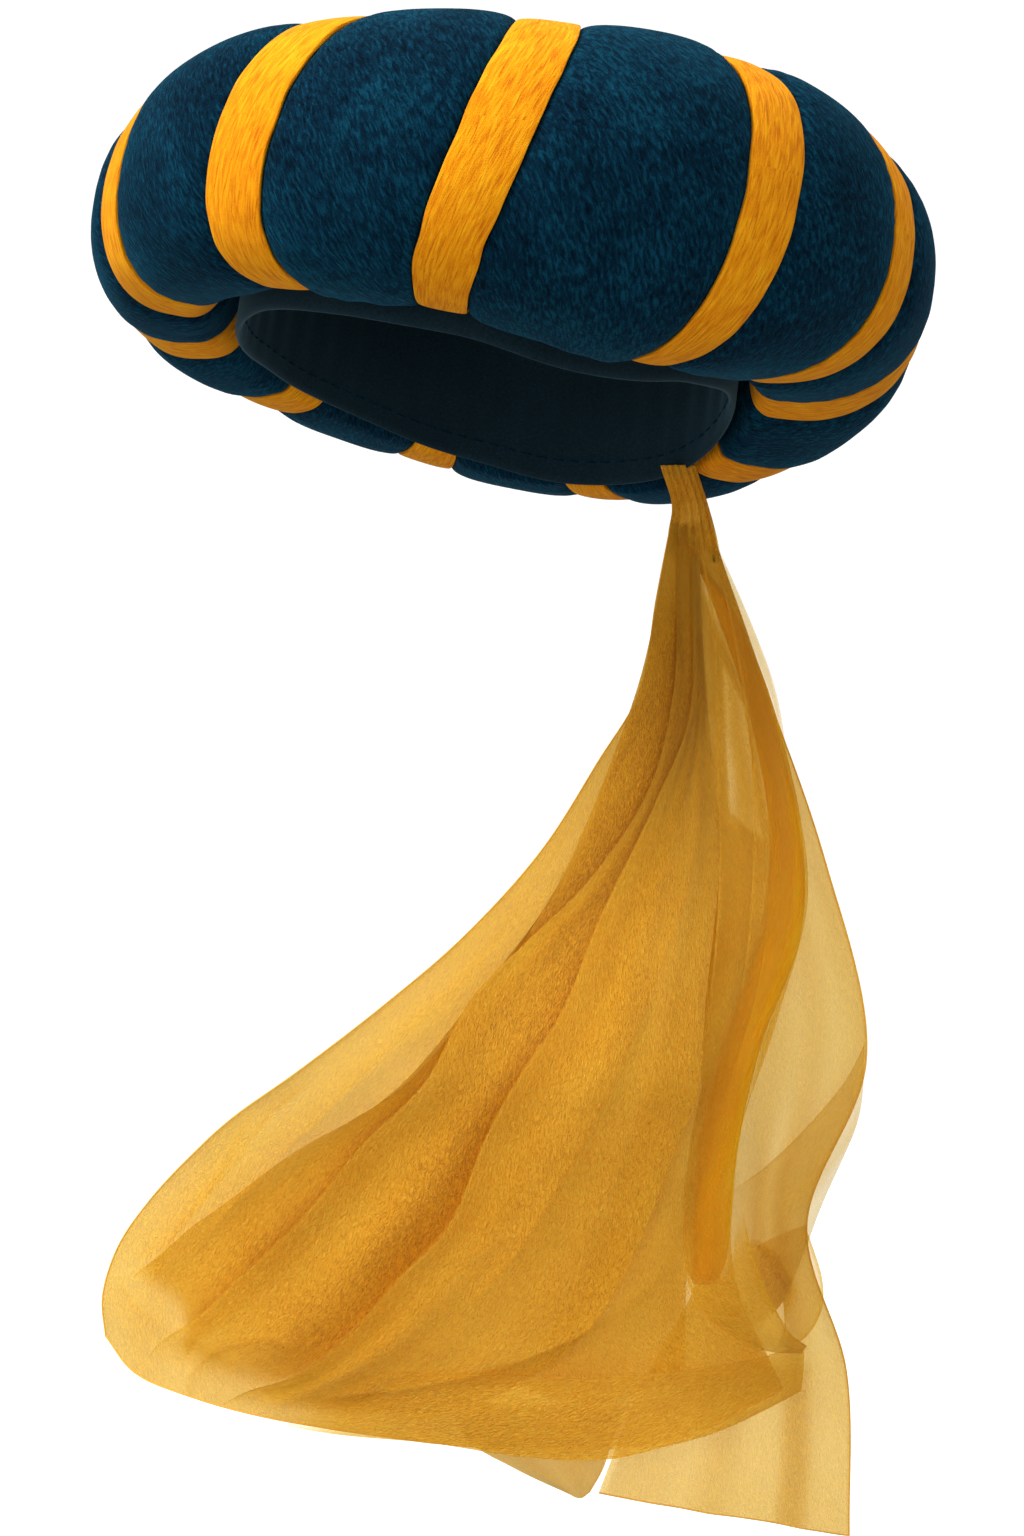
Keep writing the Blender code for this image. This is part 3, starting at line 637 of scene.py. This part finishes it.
# Lines on the veil that several sheets share, from the gather to the hem, across and up in mm.
leftFold = ((60, -45), (55, -70), (49, -101), (35, -124), (16, -153), (-9, -180), (-34, -201), (-59, -220),
            (-80, -235), (-91, -245), (-106, -261), (-117, -277), (-122, -293), (-121, -305))
firstPleat = ((63, -45), (62, -70), (60, -101), (51, -133), (31, -162), (12, -180), (-6, -198), (-20, -223),
              (-40, -243), (-58, -265), (-77, -283), (-89, -295), (-103, -305), (-108, -312))
secondPleat = ((67, -45), (67, -70), (65, -109), (53, -137), (34, -174), (22, -202), (11, -218), (0, -237),
               (-13, -267), (-28, -283), (-43, -300), (-58, -312), (-75, -318), (-84, -323))
lastFold = ((70, -45), (70, -60), (71, -104), (73, -153), (67, -199), (64, -228), (58, -242), (50, -263),
            (40, -285), (28, -302), (6, -318), (-24, -328))

underFold = ((60, -45), (55, -72), (49, -97), (35, -134), (22, -162), (5, -188), (-11, -208), (-27, -225),
             (-41, -234), (-59, -244), (-69, -251), (-82, -261), (-93, -269), (-103, -278), (-113, -286))

# Creases: low folds inside a sheet. rise is how far the edge stands out, under and over how far that fades
# to its two sides, the lap how wide the cloth on the left of the edge is doubled and painted darker as
# shade, and ply by how much; all but ply in mm.
creases = {
    # The first two raise no edge: their laps only paint shade on the cloth left of the first and second
    # pleat edges.
    "shadeBesideFirst": {"shadedLap": 12.0, "ply": 1.3, "rise": 0.0, "under": 1.0, "over": 1.0, "marks": firstPleat},
    "shadeBesideSecond": {"shadedLap": 24.0, "ply": 2.6, "rise": 0.0, "under": 1.0, "over": 1.0, "marks": secondPleat},
    "broad": {"shadedLap": 22.0, "ply": 0.8, "rise": 2.4, "under": 7.0, "over": 20.0, "marks": (
        (69, -60), (69, -104), (66, -150), (52, -190), (38, -222), (24, -250), (6, -278), (-14, -300))},
    "upper": {"shadedLap": 9.0, "ply": 0.7, "rise": 1.6, "under": 3.0, "over": 12.0, "marks": (
        (56, -96), (45, -120), (22, -152), (-6, -190), (-32, -214), (-58, -240), (-80, -262), (-96, -282))},
    "sweep": {"shadedLap": 12.0, "ply": 0.9, "rise": 2.2, "under": 3.0, "over": 12.0, "marks": (
        (-60, -321), (-24, -317), (0, -312), (26, -302), (46, -290), (60, -274))},
    "tuckLow": {"shadedLap": 6.0, "ply": 0.8, "rise": 1.0, "under": 2.0, "over": 6.0, "marks": (
        (-118, -284), (-112, -294), (-100, -302), (-88, -306), (-74, -314))},
    "tuckSoft": {"shadedLap": 3.5, "ply": 1.6, "rise": 0.6, "under": 2.0, "over": 5.0, "marks": (
        (-52, -222), (-66, -232), (-82, -252), (-98, -272), (-106, -290))},
    "tuckHigh": {"shadedLap": 5.0, "ply": 1.0, "rise": 1.0, "under": 2.0, "over": 6.0, "marks": (
        (-72, -230), (-80, -246), (-90, -262), (-100, -274), (-116, -282))},
    "tuckTip": {"shadedLap": 4.0, "ply": 1.0, "rise": 1.0, "under": 2.0, "over": 5.0, "marks": (
        (-96, -326), (-92, -314), (-84, -306), (-70, -303), (-56, -306))},
}


def besideLine(marks, across, up):
    # signed distance to a smooth line, positive to the right of its run, and the share along it
    line = curveThrough(marks, veil["linePoints"])
    run = np.gradient(line, axis=0)
    run /= np.linalg.norm(run, axis=1, keepdims=True)
    spot = np.stack([across.ravel(), up.ravel()], axis=1)
    near = np.empty(len(spot), int)
    for start in range(0, len(spot), 8000):
        part = spot[start:start + 8000]
        near[start:start + 8000] = ((part[:, None] - line) ** 2).sum(axis=2).argmin(axis=1)
    away = spot - line[near]
    side = run[near, 0] * away[:, 1] - run[near, 1] * away[:, 0]
    distance = np.linalg.norm(away, axis=1) * np.sign(side)
    return distance.reshape(across.shape), (near / (veil["linePoints"] - 1.0)).reshape(across.shape)


def creaseRelief(across, up):
    total = np.zeros_like(across)
    for crease in creases.values():
        away, along = besideLine(crease["marks"], across, up)
        shape = np.where(away < 0, np.exp(away / crease["under"]), np.exp(-away / crease["over"]))
        fade = eased(along / 0.12) * eased((1.0 - along) / 0.10)
        total += crease["rise"] * shape * fade
    return total


def insidePatch(marks, across, up, soft):
    # 1 well inside a closed outline, 0 outside it
    marks = np.asarray(marks, float)
    nearest = np.full(across.shape, 1e9)
    inside = np.zeros(across.shape, bool)
    for (ax, ay), (bx, by) in zip(marks, np.roll(marks, -1, axis=0)):
        length = (bx - ax) ** 2 + (by - ay) ** 2
        t = np.clip(((across - ax) * (bx - ax) + (up - ay) * (by - ay)) / length, 0, 1)
        nearest = np.minimum(nearest, np.hypot(across - ax - t * (bx - ax), up - ay - t * (by - ay)))
        crosses = (ay > up) != (by > up)
        slope = (bx - ax) * (up - ay) / np.where(by == ay, 1e-9, by - ay) + ax
        inside ^= crosses & (across < slope)
    return eased(0.5 + np.where(inside, nearest, -nearest) / soft)


def loft(guides, rows, columns):
    # a grid between guide lines that all run from the gather to the hem
    lines = np.stack([curveThrough(guide, rows) for guide in guides])
    if len(guides) == 2:
        share = np.linspace(0.0, 1.0, columns)[:, None, None]
        grid = lines[0] * (1 - share) + lines[1] * share
        return grid.transpose(1, 0, 2)
    return np.stack([curveThrough(lines[:, row], columns) for row in range(rows)])


def creasePlyAndShade(across, up):
    # the pleat beside an edge doubles the cloth there and paints shade on its left side, darkest at the edge
    # and fading away from it; the edge itself is a fold
    total = np.zeros_like(across)
    for crease in creases.values():
        away, along = besideLine(crease["marks"], across, up)
        fade = eased(along / 0.15) * eased((1.0 - along) / 0.15)
        shadedLap = np.where(away < 0, np.exp(away / crease["shadedLap"]), 0.0)
        fold = np.exp(-(away / veil["foldWidth"]) ** 2)
        total += fade * (crease["ply"] * shadedLap + veil["foldPly"] * fold)
    return total


# Patches: places where fewer or more plies lie, seen between the folds, and the sheets they are in.
patches = {
    "leaf": {"of": ("veilPleats", "veilSheer"), "ply": -1.2, "soft": 1.5, "marks": (
        (65, -74), (69, -84), (70, -97), (67, -110), (62, -92))},
    "slit": {"of": ("veilPleats", "veilSheer"), "ply": -1.0, "soft": 2.0, "marks": (
        (68, -100), (74, -112), (74, -139), (68, -131))},
    "long": {"of": ("veilPleats", "veilSheer"), "ply": -1.2, "soft": 1.5, "marks": (
        (77, -91), (84, -106), (88, -150), (77, -141))},
    "small": {"of": ("veilSheer",), "ply": -0.6, "soft": 1.5, "marks": (
        (88, -118), (93, -134), (93, -160), (89, -152))},
    "between": {"of": ("veilPleats", "veilInner"), "ply": -0.5, "soft": 5.0, "marks": (
        (77, -160), (90, -165), (84, -200), (70, -240), (66, -262), (60, -252), (68, -215), (75, -180))},
    "overStreamer": {"of": ("veilSheer", "veilInner", "veilCord", "veilPin", "veilTwist"), "ply": -1.3,
                     "soft": 2.5, "marks": (
        (68, -58), (82, -73), (93, -104), (102, -147), (101, -177), (86, -211), (78, -243), (74, -285),
        (62, -285), (64, -243), (72, -211), (87, -177), (91, -147), (85, -104), (74, -76))},
    "seeThrough": {"of": ("veilTail",), "ply": -0.6, "soft": 3.0, "marks": (
        (76, -88), (86, -108), (90, -150), (76, -145))},
    "pocket": {"of": ("veilLoop", "veilDrawn"), "ply": 2.6, "soft": 4.0, "marks": (
        (82, -276), (90, -281), (96, -292), (93, -301), (86, -292))},
    "drop": {"of": ("veilTail",), "ply": 0.9, "soft": 6.0, "marks": (
        (94, -318), (101, -318), (101, -350), (99, -372), (90, -372), (93, -345))},
}


def patchPly(name, across, up):
    total = np.zeros_like(across)
    for patch in patches.values():
        if name in patch["of"]:
            total += patch["ply"] * insidePatch(patch["marks"], across, up, patch["soft"])
    return total


def beside(line, near, far):
    # the line moved to the right by near at the gather and far at the hem
    return tuple((across + near + (far - near) * dropShare(up), up) for across, up in line)


def makeSheet(sheet):
    grid = loft(sheet["guides"], sheet["rows"], sheet["columns"])
    across, up = grid[..., 0], grid[..., 1]
    share = dropShare(up)
    flatMap = clothMap(grid * mm)
    streaks = lumps(flatMap / mm / np.array(veil["streakSize"]), 1.0, sheet["seed"])
    streaks = streaks + 0.3 * lumps(flatMap / mm, veil["patchLength"], sheet["seed"] + 1)
    near, far = sheet["layer"]
    part = np.linspace(0.0, 1.0, sheet["columns"])
    barrel = sheet["barrel"] * np.cos(part * math.pi / 2) ** 1.3
    out = hangOut(across, up) + near + (far - near) * share
    out = out + (veil["topShare"] + (1 - veil["topShare"]) * share) * (
        sheet["relief"] * creaseRelief(across, up) + sheet["streak"] * streaks + barrel)
    # the border: plies fade in from it where the sheet is a soft fold, and a hem is a thin denser line
    step = np.linalg.norm(np.diff(grid, axis=1, prepend=grid[:, :1]), axis=2).cumsum(axis=1)
    # the crease laps add painted shade beside the pleat edges to the ply, and the organza darkens its colour
    # by ply
    ply = sheet["ply"] + sheet["shadedLaps"] * creasePlyAndShade(across, up) + patchPly(sheet["name"], across, up)
    ply = np.maximum(ply + veil["streakPly"] * sheet["ply"] * streaks, veil["leastPly"])
    for edge, away in (("left", step), ("right", step[:, -1:] - step)):
        soft, extra = sheet[edge]
        soft = soft * (0.06 + 0.94 * share ** 2)
        inwards = veil["edgePly"] + (1.0 - veil["edgePly"]) * eased(away / soft)
        ply = ply * inwards + extra * np.exp(-(away / veil["hemWidth"]) ** 2)
    along = np.linspace(0.0, 1.0, sheet["rows"])[:, None]
    if sheet["fades"]:
        ply = ply * eased((1.0 - along) / sheet["fades"])
    if sheet["grows"]:
        ply = ply * eased(along / sheet["grows"])
    points = fromVeil(across, up, out)
    piece = gridPiece(sheet["name"], points, flatMap, goldOrganza, marks={"ply": ply})
    borders = {"left": points[:, 0], "right": points[:, -1], "end": points[-1]}
    if sheet["hems"]:
        rolledHem(sheet["name"] + "Hem", [borders[edge] for edge in sheet["hems"]])
    if sheet["stands"]:
        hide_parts(sheet["stands"])
    # no cut is known, so the flat area is the shaped sheet's own, within what a width and length allow
    area = sum(polygon.area for polygon in piece.data.polygons)
    width, length = float(flatMap[..., 0].max()), float(flatMap[..., 1].max())
    area = min(max(area, veil["leastShare"] * width * length), width * length)


# The veil's layers, from the back forwards. Guides run from the gather to the hem, left to right, across
# and up in mm. layer is how far in front of the veil's middle a sheet lies at the gather and at the hem,
# barrel how far its left edge stands out, left and right how far its plies fade in from that border and
# how many more lie at its hem, and grows and fades are the shares of its length over which it thins out
# at its start and its end.
plain = {"stands": "", "rows": 100, "columns": 50, "shadedLaps": 0.0, "relief": 0.0, "barrel": 0.0, "streak": 0.6,
         "grows": 0.0, "left": (0.3, 0.8), "right": (0.3, 0.8), "fades": 0.0, "hems": ()}
veilSheets = (
    {"name": "veilTail", "stands": "veil_back", "rows": 230, "columns": 120, "layer": (-2.6, -13.0),
     "ply": 1.55, "streak": 0.9, "left": (3.0, 0.4), "right": (0.1, 1.0), "hems": ("right", "end"),
     "seed": 31, "guides": (
         ((60, -45), (66, -100), (67, -156), (66, -220), (70, -274), (47, -321), (34, -354)),
         ((66, -44), (77, -100), (86, -156), (91, -223), (83, -275), (78, -323), (70, -361)),
         ((70, -43), (84, -99), (98, -156), (106, -225), (92, -274), (94, -323), (90, -366)),
         ((73, -42), (90, -94), (110, -157), (122, -222), (101, -272), (115, -322), (116, -375)))},
    {"name": "veilLoop", "layer": (-4.0, -8.0), "ply": 0.7, "left": (3.0, 0.6), "right": (1.0, 0.8),
     "seed": 81, "guides": (
         ((84, -277), (89, -285), (92, -292), (93, -299), (93, -304), (91, -309)),
         ((92, -274), (97, -283), (99, -291), (99, -299), (97, -305), (93, -310)),
         ((100, -272), (103, -280), (106, -290), (106, -299), (102, -306), (95, -311)))},
    {"name": "veilDrawn", "layer": (-1.0, -6.0), "ply": 0.65, "left": (1.0, 0.7), "right": (1.5, 0.6),
     "seed": 61, "fades": 0.4, "guides": (
         ((121, -216), (114, -227), (99, -242), (84, -254), (70, -262)),
         ((119, -238), (110, -247), (97, -256), (84, -266), (72, -275)),
         ((105, -267), (98, -284), (91, -297), (82, -302), (71, -302)))},
    {"name": "veilInner", "rows": 150, "columns": 90, "layer": (1.5, 2.6), "ply": 1.2, "grows": 0.25,
     "left": (8.0, 0.0), "right": (2.0, 0.6), "seed": 41, "guides": (
         ((64, -150), (58, -190), (46, -235), (30, -280), (8, -318)),
         ((76, -150), (72, -190), (62, -240), (48, -285), (30, -324)),
         ((90, -166), (84, -196), (70, -238), (62, -274), (60, -316)))},
    {"name": "veilCorner", "rows": 60, "columns": 40, "layer": (-1.0, 2.0), "ply": 2.2, "seed": 91,
     "guides": (
        ((-12, -322), (-8, -334), (8, -344), (25, -352)),
        ((12, -324), (16, -335), (23, -345), (28, -353)),
        ((42, -324), (38, -335), (35, -344), (31, -351)))},
    {"name": "veilSheer", "rows": 230, "columns": 170, "layer": (2.0, 4.2), "ply": 1.8, "shadedLaps": 0.35,
     "relief": 0.5, "left": (0.1, 1.0), "right": (2.5, 0.4), "hems": ("left", "end"), "seed": 21, "guides": (
         leftFold,
         ((61, -44), (57, -88), (44, -134), (8, -180), (-40, -233), (-86, -270), (-112, -315)),
         ((62, -44), (59, -90), (48, -140), (16, -186), (-30, -236), (-68, -290), (-93, -322)),
         ((66, -44), (66, -100), (54, -160), (26, -220), (-14, -280), (-49, -331)),
         ((69, -43), (74, -100), (74, -170), (58, -240), (30, -300), (4, -337)),
         ((71, -43), (80, -92), (88, -140), (84, -190), (70, -240), (58, -292), (54, -335)),
         ((73, -43), (90, -94), (101, -140), (102, -170), (90, -206), (77, -244), (76, -284), (92, -321)))},
    {"name": "veilUnder", "rows": 230, "columns": 60, "layer": (2.3, 5.4), "ply": 1.6, "shadedLaps": 1.0,
     "relief": 0.5, "barrel": 2.5, "left": (9.0, 0.9), "right": (3.0, 0.0), "fades": 0.04,
     "seed": 13, "guides": (
         underFold,
         ((60, -45), (58, -80), (52, -110), (38, -140), (18, -170), (-4, -197), (-24, -221), (-50, -245),
          (-76, -269), (-98, -296)),
         beside(firstPleat, 1.0, 12.0))},
    {"name": "veilSide", "rows": 230, "columns": 80, "layer": (2.7, 7.2), "ply": 2.0, "shadedLaps": 0.8,
     "relief": 0.5, "barrel": 5.0, "left": (11.0, 1.3), "right": (3.0, 0.0), "fades": 0.10,
     "seed": 12, "guides": (
         firstPleat, beside(secondPleat, 1.0, 18.0))},
    {"name": "veilPleats", "stands": "veil_front", "rows": 250, "columns": 120, "layer": (3.1, 9.0),
     "ply": 2.1, "shadedLaps": 0.8, "relief": 0.8, "barrel": 6.5, "fades": 0.05, "left": (14.0, 1.4),
     "right": (0.3, 1.0), "seed": 11, "guides": (
         secondPleat,
         ((68, -45), (68, -90), (68, -140), (58, -185), (44, -222), (24, -262), (-6, -298), (-50, -326)),
         lastFold)},
    {"name": "veilHemBand", "rows": 140, "columns": 40, "layer": (8.0, 13.0), "ply": 1.8, "relief": 0.6,
     "left": (9.0, 0.0), "right": (0.5, 1.0), "fades": 0.35, "seed": 51, "guides": (
         ((98, -306), (84, -309), (65, -311), (46, -313), (22, -314), (-9, -312), (-40, -312), (-70, -314)),
         ((98, -314), (84, -318), (67, -322), (49, -327), (28, -330), (-2, -328), (-36, -324), (-74, -321)),
         ((97, -321), (84, -326), (70, -331), (54, -335), (36, -339), (9, -338), (-18, -334), (-49, -331),
          (-77, -326)))},
    {"name": "veilCord", "rows": 160, "columns": 24, "layer": (3.4, 9.6), "ply": 0.6, "grows": 0.1,
     "left": (0.3, 1.3), "right": (9.0, 0.0), "fades": 0.3, "seed": 101, "guides": (
         ((72, -45), (79, -72), (83, -97), (85, -115), (85, -141), (83, -166), (80, -188), (76, -208)),
         ((73, -45), (85, -72), (94, -97), (97, -115), (97, -141), (95, -166), (91, -188), (85, -208)))},
    {"name": "veilPin", "rows": 160, "columns": 24, "layer": (3.2, 9.2), "ply": 0.5, "grows": 0.1,
     "left": (0.3, 1.2), "right": (9.0, 0.0), "fades": 0.3, "seed": 103, "guides": (
         ((68, -45), (73, -72), (74, -104), (73, -140), (72, -168), (69, -193), (66, -213)),
         ((70, -45), (82, -72), (86, -104), (85, -140), (83, -168), (79, -193), (75, -213)))},
    {"name": "veilTwist", "columns": 60, "layer": (6.0, 15.0), "ply": 1.1, "grows": 0.35, "left": (2.0, 1.1),
     "right": (0.5, 1.2), "seed": 71, "guides": (
         ((60, -262), (60, -280), (64, -292), (74, -301), (86, -307), (97, -309)),
         ((68, -262), (70, -276), (76, -288), (84, -298), (91, -304), (98, -308)),
         ((78, -262), (80, -272), (84, -284), (89, -295), (94, -303), (99, -307)))},
)


def makeVeil():
    for sheet in veilSheets:
        makeSheet({**plain, **sheet})


streamerPath = (
    {"across": 69.6, "up": -57.0, "halfWidth": 0.8}, {"across": 78.0, "up": -73.0, "halfWidth": 3.0},
    {"across": 89.0, "up": -104.0, "halfWidth": 4.4}, {"across": 96.0, "up": -147.0, "halfWidth": 5.6},
    {"across": 93.0, "up": -177.0, "halfWidth": 7.0}, {"across": 78.0, "up": -211.0, "halfWidth": 7.4},
    {"across": 70.0, "up": -243.0, "halfWidth": 7.6}, {"across": 67.0, "up": -280.0, "halfWidth": 6.6},
    {"across": 67.0, "up": -287.0, "halfWidth": 3.6})
streamerCut = {"rows": 220, "across": 13, "thick": 1.3, "curl": 0.9}


def makeStreamer():
    path = curveThrough([(s["across"], s["up"], s["halfWidth"]) for s in streamerPath], streamerCut["rows"])
    run = np.gradient(path[:, :2], axis=0)
    run /= np.linalg.norm(run, axis=1, keepdims=True)
    side = np.sin(np.linspace(-math.pi / 2, math.pi / 2, streamerCut["across"]))
    sides = np.concatenate([side, side[::-1]])
    across = path[:, :1] - sides * path[:, 2:] * run[:, 1:]
    up = path[:, 1:2] + sides * path[:, 2:] * run[:, :1]
    depth = np.concatenate([np.full_like(side, 0.5), np.full_like(side, -0.5)]) * streamerCut["thick"]
    depth = depth * np.sqrt(np.maximum(1.0 - sides ** 4, 0.02))
    wave = streamerCut["curl"] * lumps(np.stack([sides * 0.6 + 0 * across, up / 30.0], axis=-1), 1.0, 71)
    share = dropShare(up)
    points = fromVeil(across, up, hangOut(across, up) + depth + wave * share)
    piece = gridPiece("veilStreamer", points, clothMap(points, (False, True)), goldStrip, (False, True))
    closeEnds(piece)
    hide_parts("gold_streamer")


def closeEnds(piece):
    tidy = bmesh.new()
    tidy.from_mesh(piece.data)
    bmesh.ops.holes_fill(tidy, edges=[edge for edge in tidy.edges if edge.is_boundary])
    bmesh.ops.recalc_face_normals(tidy, faces=tidy.faces)
    tidy.to_mesh(piece.data)
    tidy.free()


gatherSections = (
    {"up": -24.6, "across": 62.6, "out": -48.4, "halfWidth": 6.0, "halfDepth": 3.6},
    {"up": -38.0, "across": 66.7, "out": -48.5, "halfWidth": 6.2, "halfDepth": 4.4},
    {"up": -48.0, "across": 67.4, "out": -48.2, "halfWidth": 8.2, "halfDepth": 4.6},
    {"up": -57.2, "across": 68.4, "out": -47.2, "halfWidth": 9.0, "halfDepth": 4.8})
gather = {"rows": 60, "steps": 180, "flutes": 15, "depth": 0.16}


def makeGather():
    columns = ("across", "out", "up", "halfWidth", "halfDepth")
    marks = [[section[column] for column in columns] for section in gatherSections]
    path = curveThrough(marks, gather["rows"])
    a = np.linspace(0.0, 2 * math.pi, gather["steps"], endpoint=False)
    swell = 1.0 - gather["depth"] * (1.0 - np.cos(gather["flutes"] * a + 1.5 * np.sin(2 * a)))
    across = path[:, :1] + path[:, 3:4] * swell * np.cos(a)
    out = path[:, 1:2] + path[:, 4:5] * swell * np.sin(a)
    points = fromVeil(across, path[:, 2:3] + 0 * across, out)
    piece = gridPiece("gatherNeck", points, clothMap(points, (False, True)), goldOrganza, (False, True),
                      {"ply": 2.4 * eased((path[:, 2:3] + 58.0) / 22.0) + 0.0 * across})
    closeEnds(piece)
    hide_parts("veil_gather")


makeGather()
makeVeil()
makeStreamer()
print("veil made")

# Studio: a pale sweep, soft light from the upper left, and the photograph's own angle.
studio = {"floor": -0.405, "near": 2.5, "back": 2.2, "sweep": 0.8, "wall": 3.0, "half": 3.5,
          "cameraAt": (0.651, -1.114, -0.1264), "cameraTurn": 30.0, "lens": 93.2, "sensor": 36.0}


def makeBackdrop():
    profile = [(-studio["near"], 0.0), (studio["back"] - studio["sweep"], 0.0)]
    for step in range(1, 13):
        a = math.radians(90.0 * step / 12)
        profile.append((studio["back"] - studio["sweep"] + studio["sweep"] * math.sin(a),
                        studio["sweep"] * (1 - math.cos(a))))
    profile.append((studio["back"], studio["wall"]))
    turn = math.radians(studio["cameraTurn"])
    ahead, beside = (-math.sin(turn), math.cos(turn)), (math.cos(turn), math.sin(turn))
    points = np.array([[(d * ahead[0] + s * beside[0], d * ahead[1] + s * beside[1], studio["floor"] + h)
                        for s in (-studio["half"], studio["half"])] for d, h in profile])
    mesh = bpy.data.meshes.new("backdrop")
    faces = [(2 * k, 2 * k + 1, 2 * k + 3, 2 * k + 2) for k in range(len(profile) - 1)]
    mesh.from_pydata(points.reshape(-1, 3), [], faces)
    mesh.shade_smooth()
    material, net = newMaterial("paleBackdrop")
    shader = net.node("ShaderNodeBsdfPrincipled", None, {
        "Base Color": (0.9, 0.9, 0.9, 1), "Roughness": 0.9, "Specular IOR Level": 0.1,
        "Emission Color": (1.0, 1.0, 1.0, 1), "Emission Strength": 0.35})
    net.node("ShaderNodeOutputMaterial", None, {"Surface": shader})
    mesh.materials.append(material)
    backdrop = bpy.data.objects.new("backdrop", mesh)
    scene.collection.objects.link(backdrop)
    backdrop.visible_diffuse = False  # so that it doesn't light the underside from below


def addLight(name, place, aim, size, power):
    data = bpy.data.lights.new(name, "AREA")
    data.size = size
    data.energy = power
    lamp = bpy.data.objects.new(name, data)
    lamp.location = place
    direction = np.array(aim, float) - np.array(place, float)
    yaw = math.atan2(direction[1], direction[0]) - math.pi / 2
    pitch = math.atan2(direction[2], math.hypot(direction[0], direction[1])) + math.pi / 2
    lamp.rotation_euler = (pitch, 0.0, yaw)
    scene.collection.objects.link(lamp)


makeBackdrop()
addLight("keySoft", (-0.75, -1.05, 1.15), (0.0, 0.0, -0.05), 0.8, 32.0)
addLight("frontSoft", (0.25, -1.6, -0.3), (0.0, 0.0, -0.22), 1.0, 13.0)
addLight("fillRight", (1.6, -0.5, 0.5), (0.0, 0.0, -0.1), 1.2, 5.0)
addLight("topSoft", (0.2, 0.1, 1.5), (0.0, 0.0, 0.0), 1.0, 16.0)

world = bpy.data.worlds.new("studioAir")
world.use_nodes = True
world.node_tree.nodes["Background"].inputs["Color"].default_value = (1.0, 1.0, 1.0, 1.0)
world.node_tree.nodes["Background"].inputs["Strength"].default_value = 0.38
scene.world = world
scene.view_settings.view_transform = "Standard"

lens = bpy.data.cameras.new("photoView")
lens.lens = studio["lens"]
lens.sensor_width = studio["sensor"]
camera = bpy.data.objects.new("photoView", lens)
camera.location = studio["cameraAt"]
camera.rotation_euler = (math.radians(90.0), 0.0, math.radians(studio["cameraTurn"]))
scene.collection.objects.link(camera)
scene.camera = camera
print("studio made")
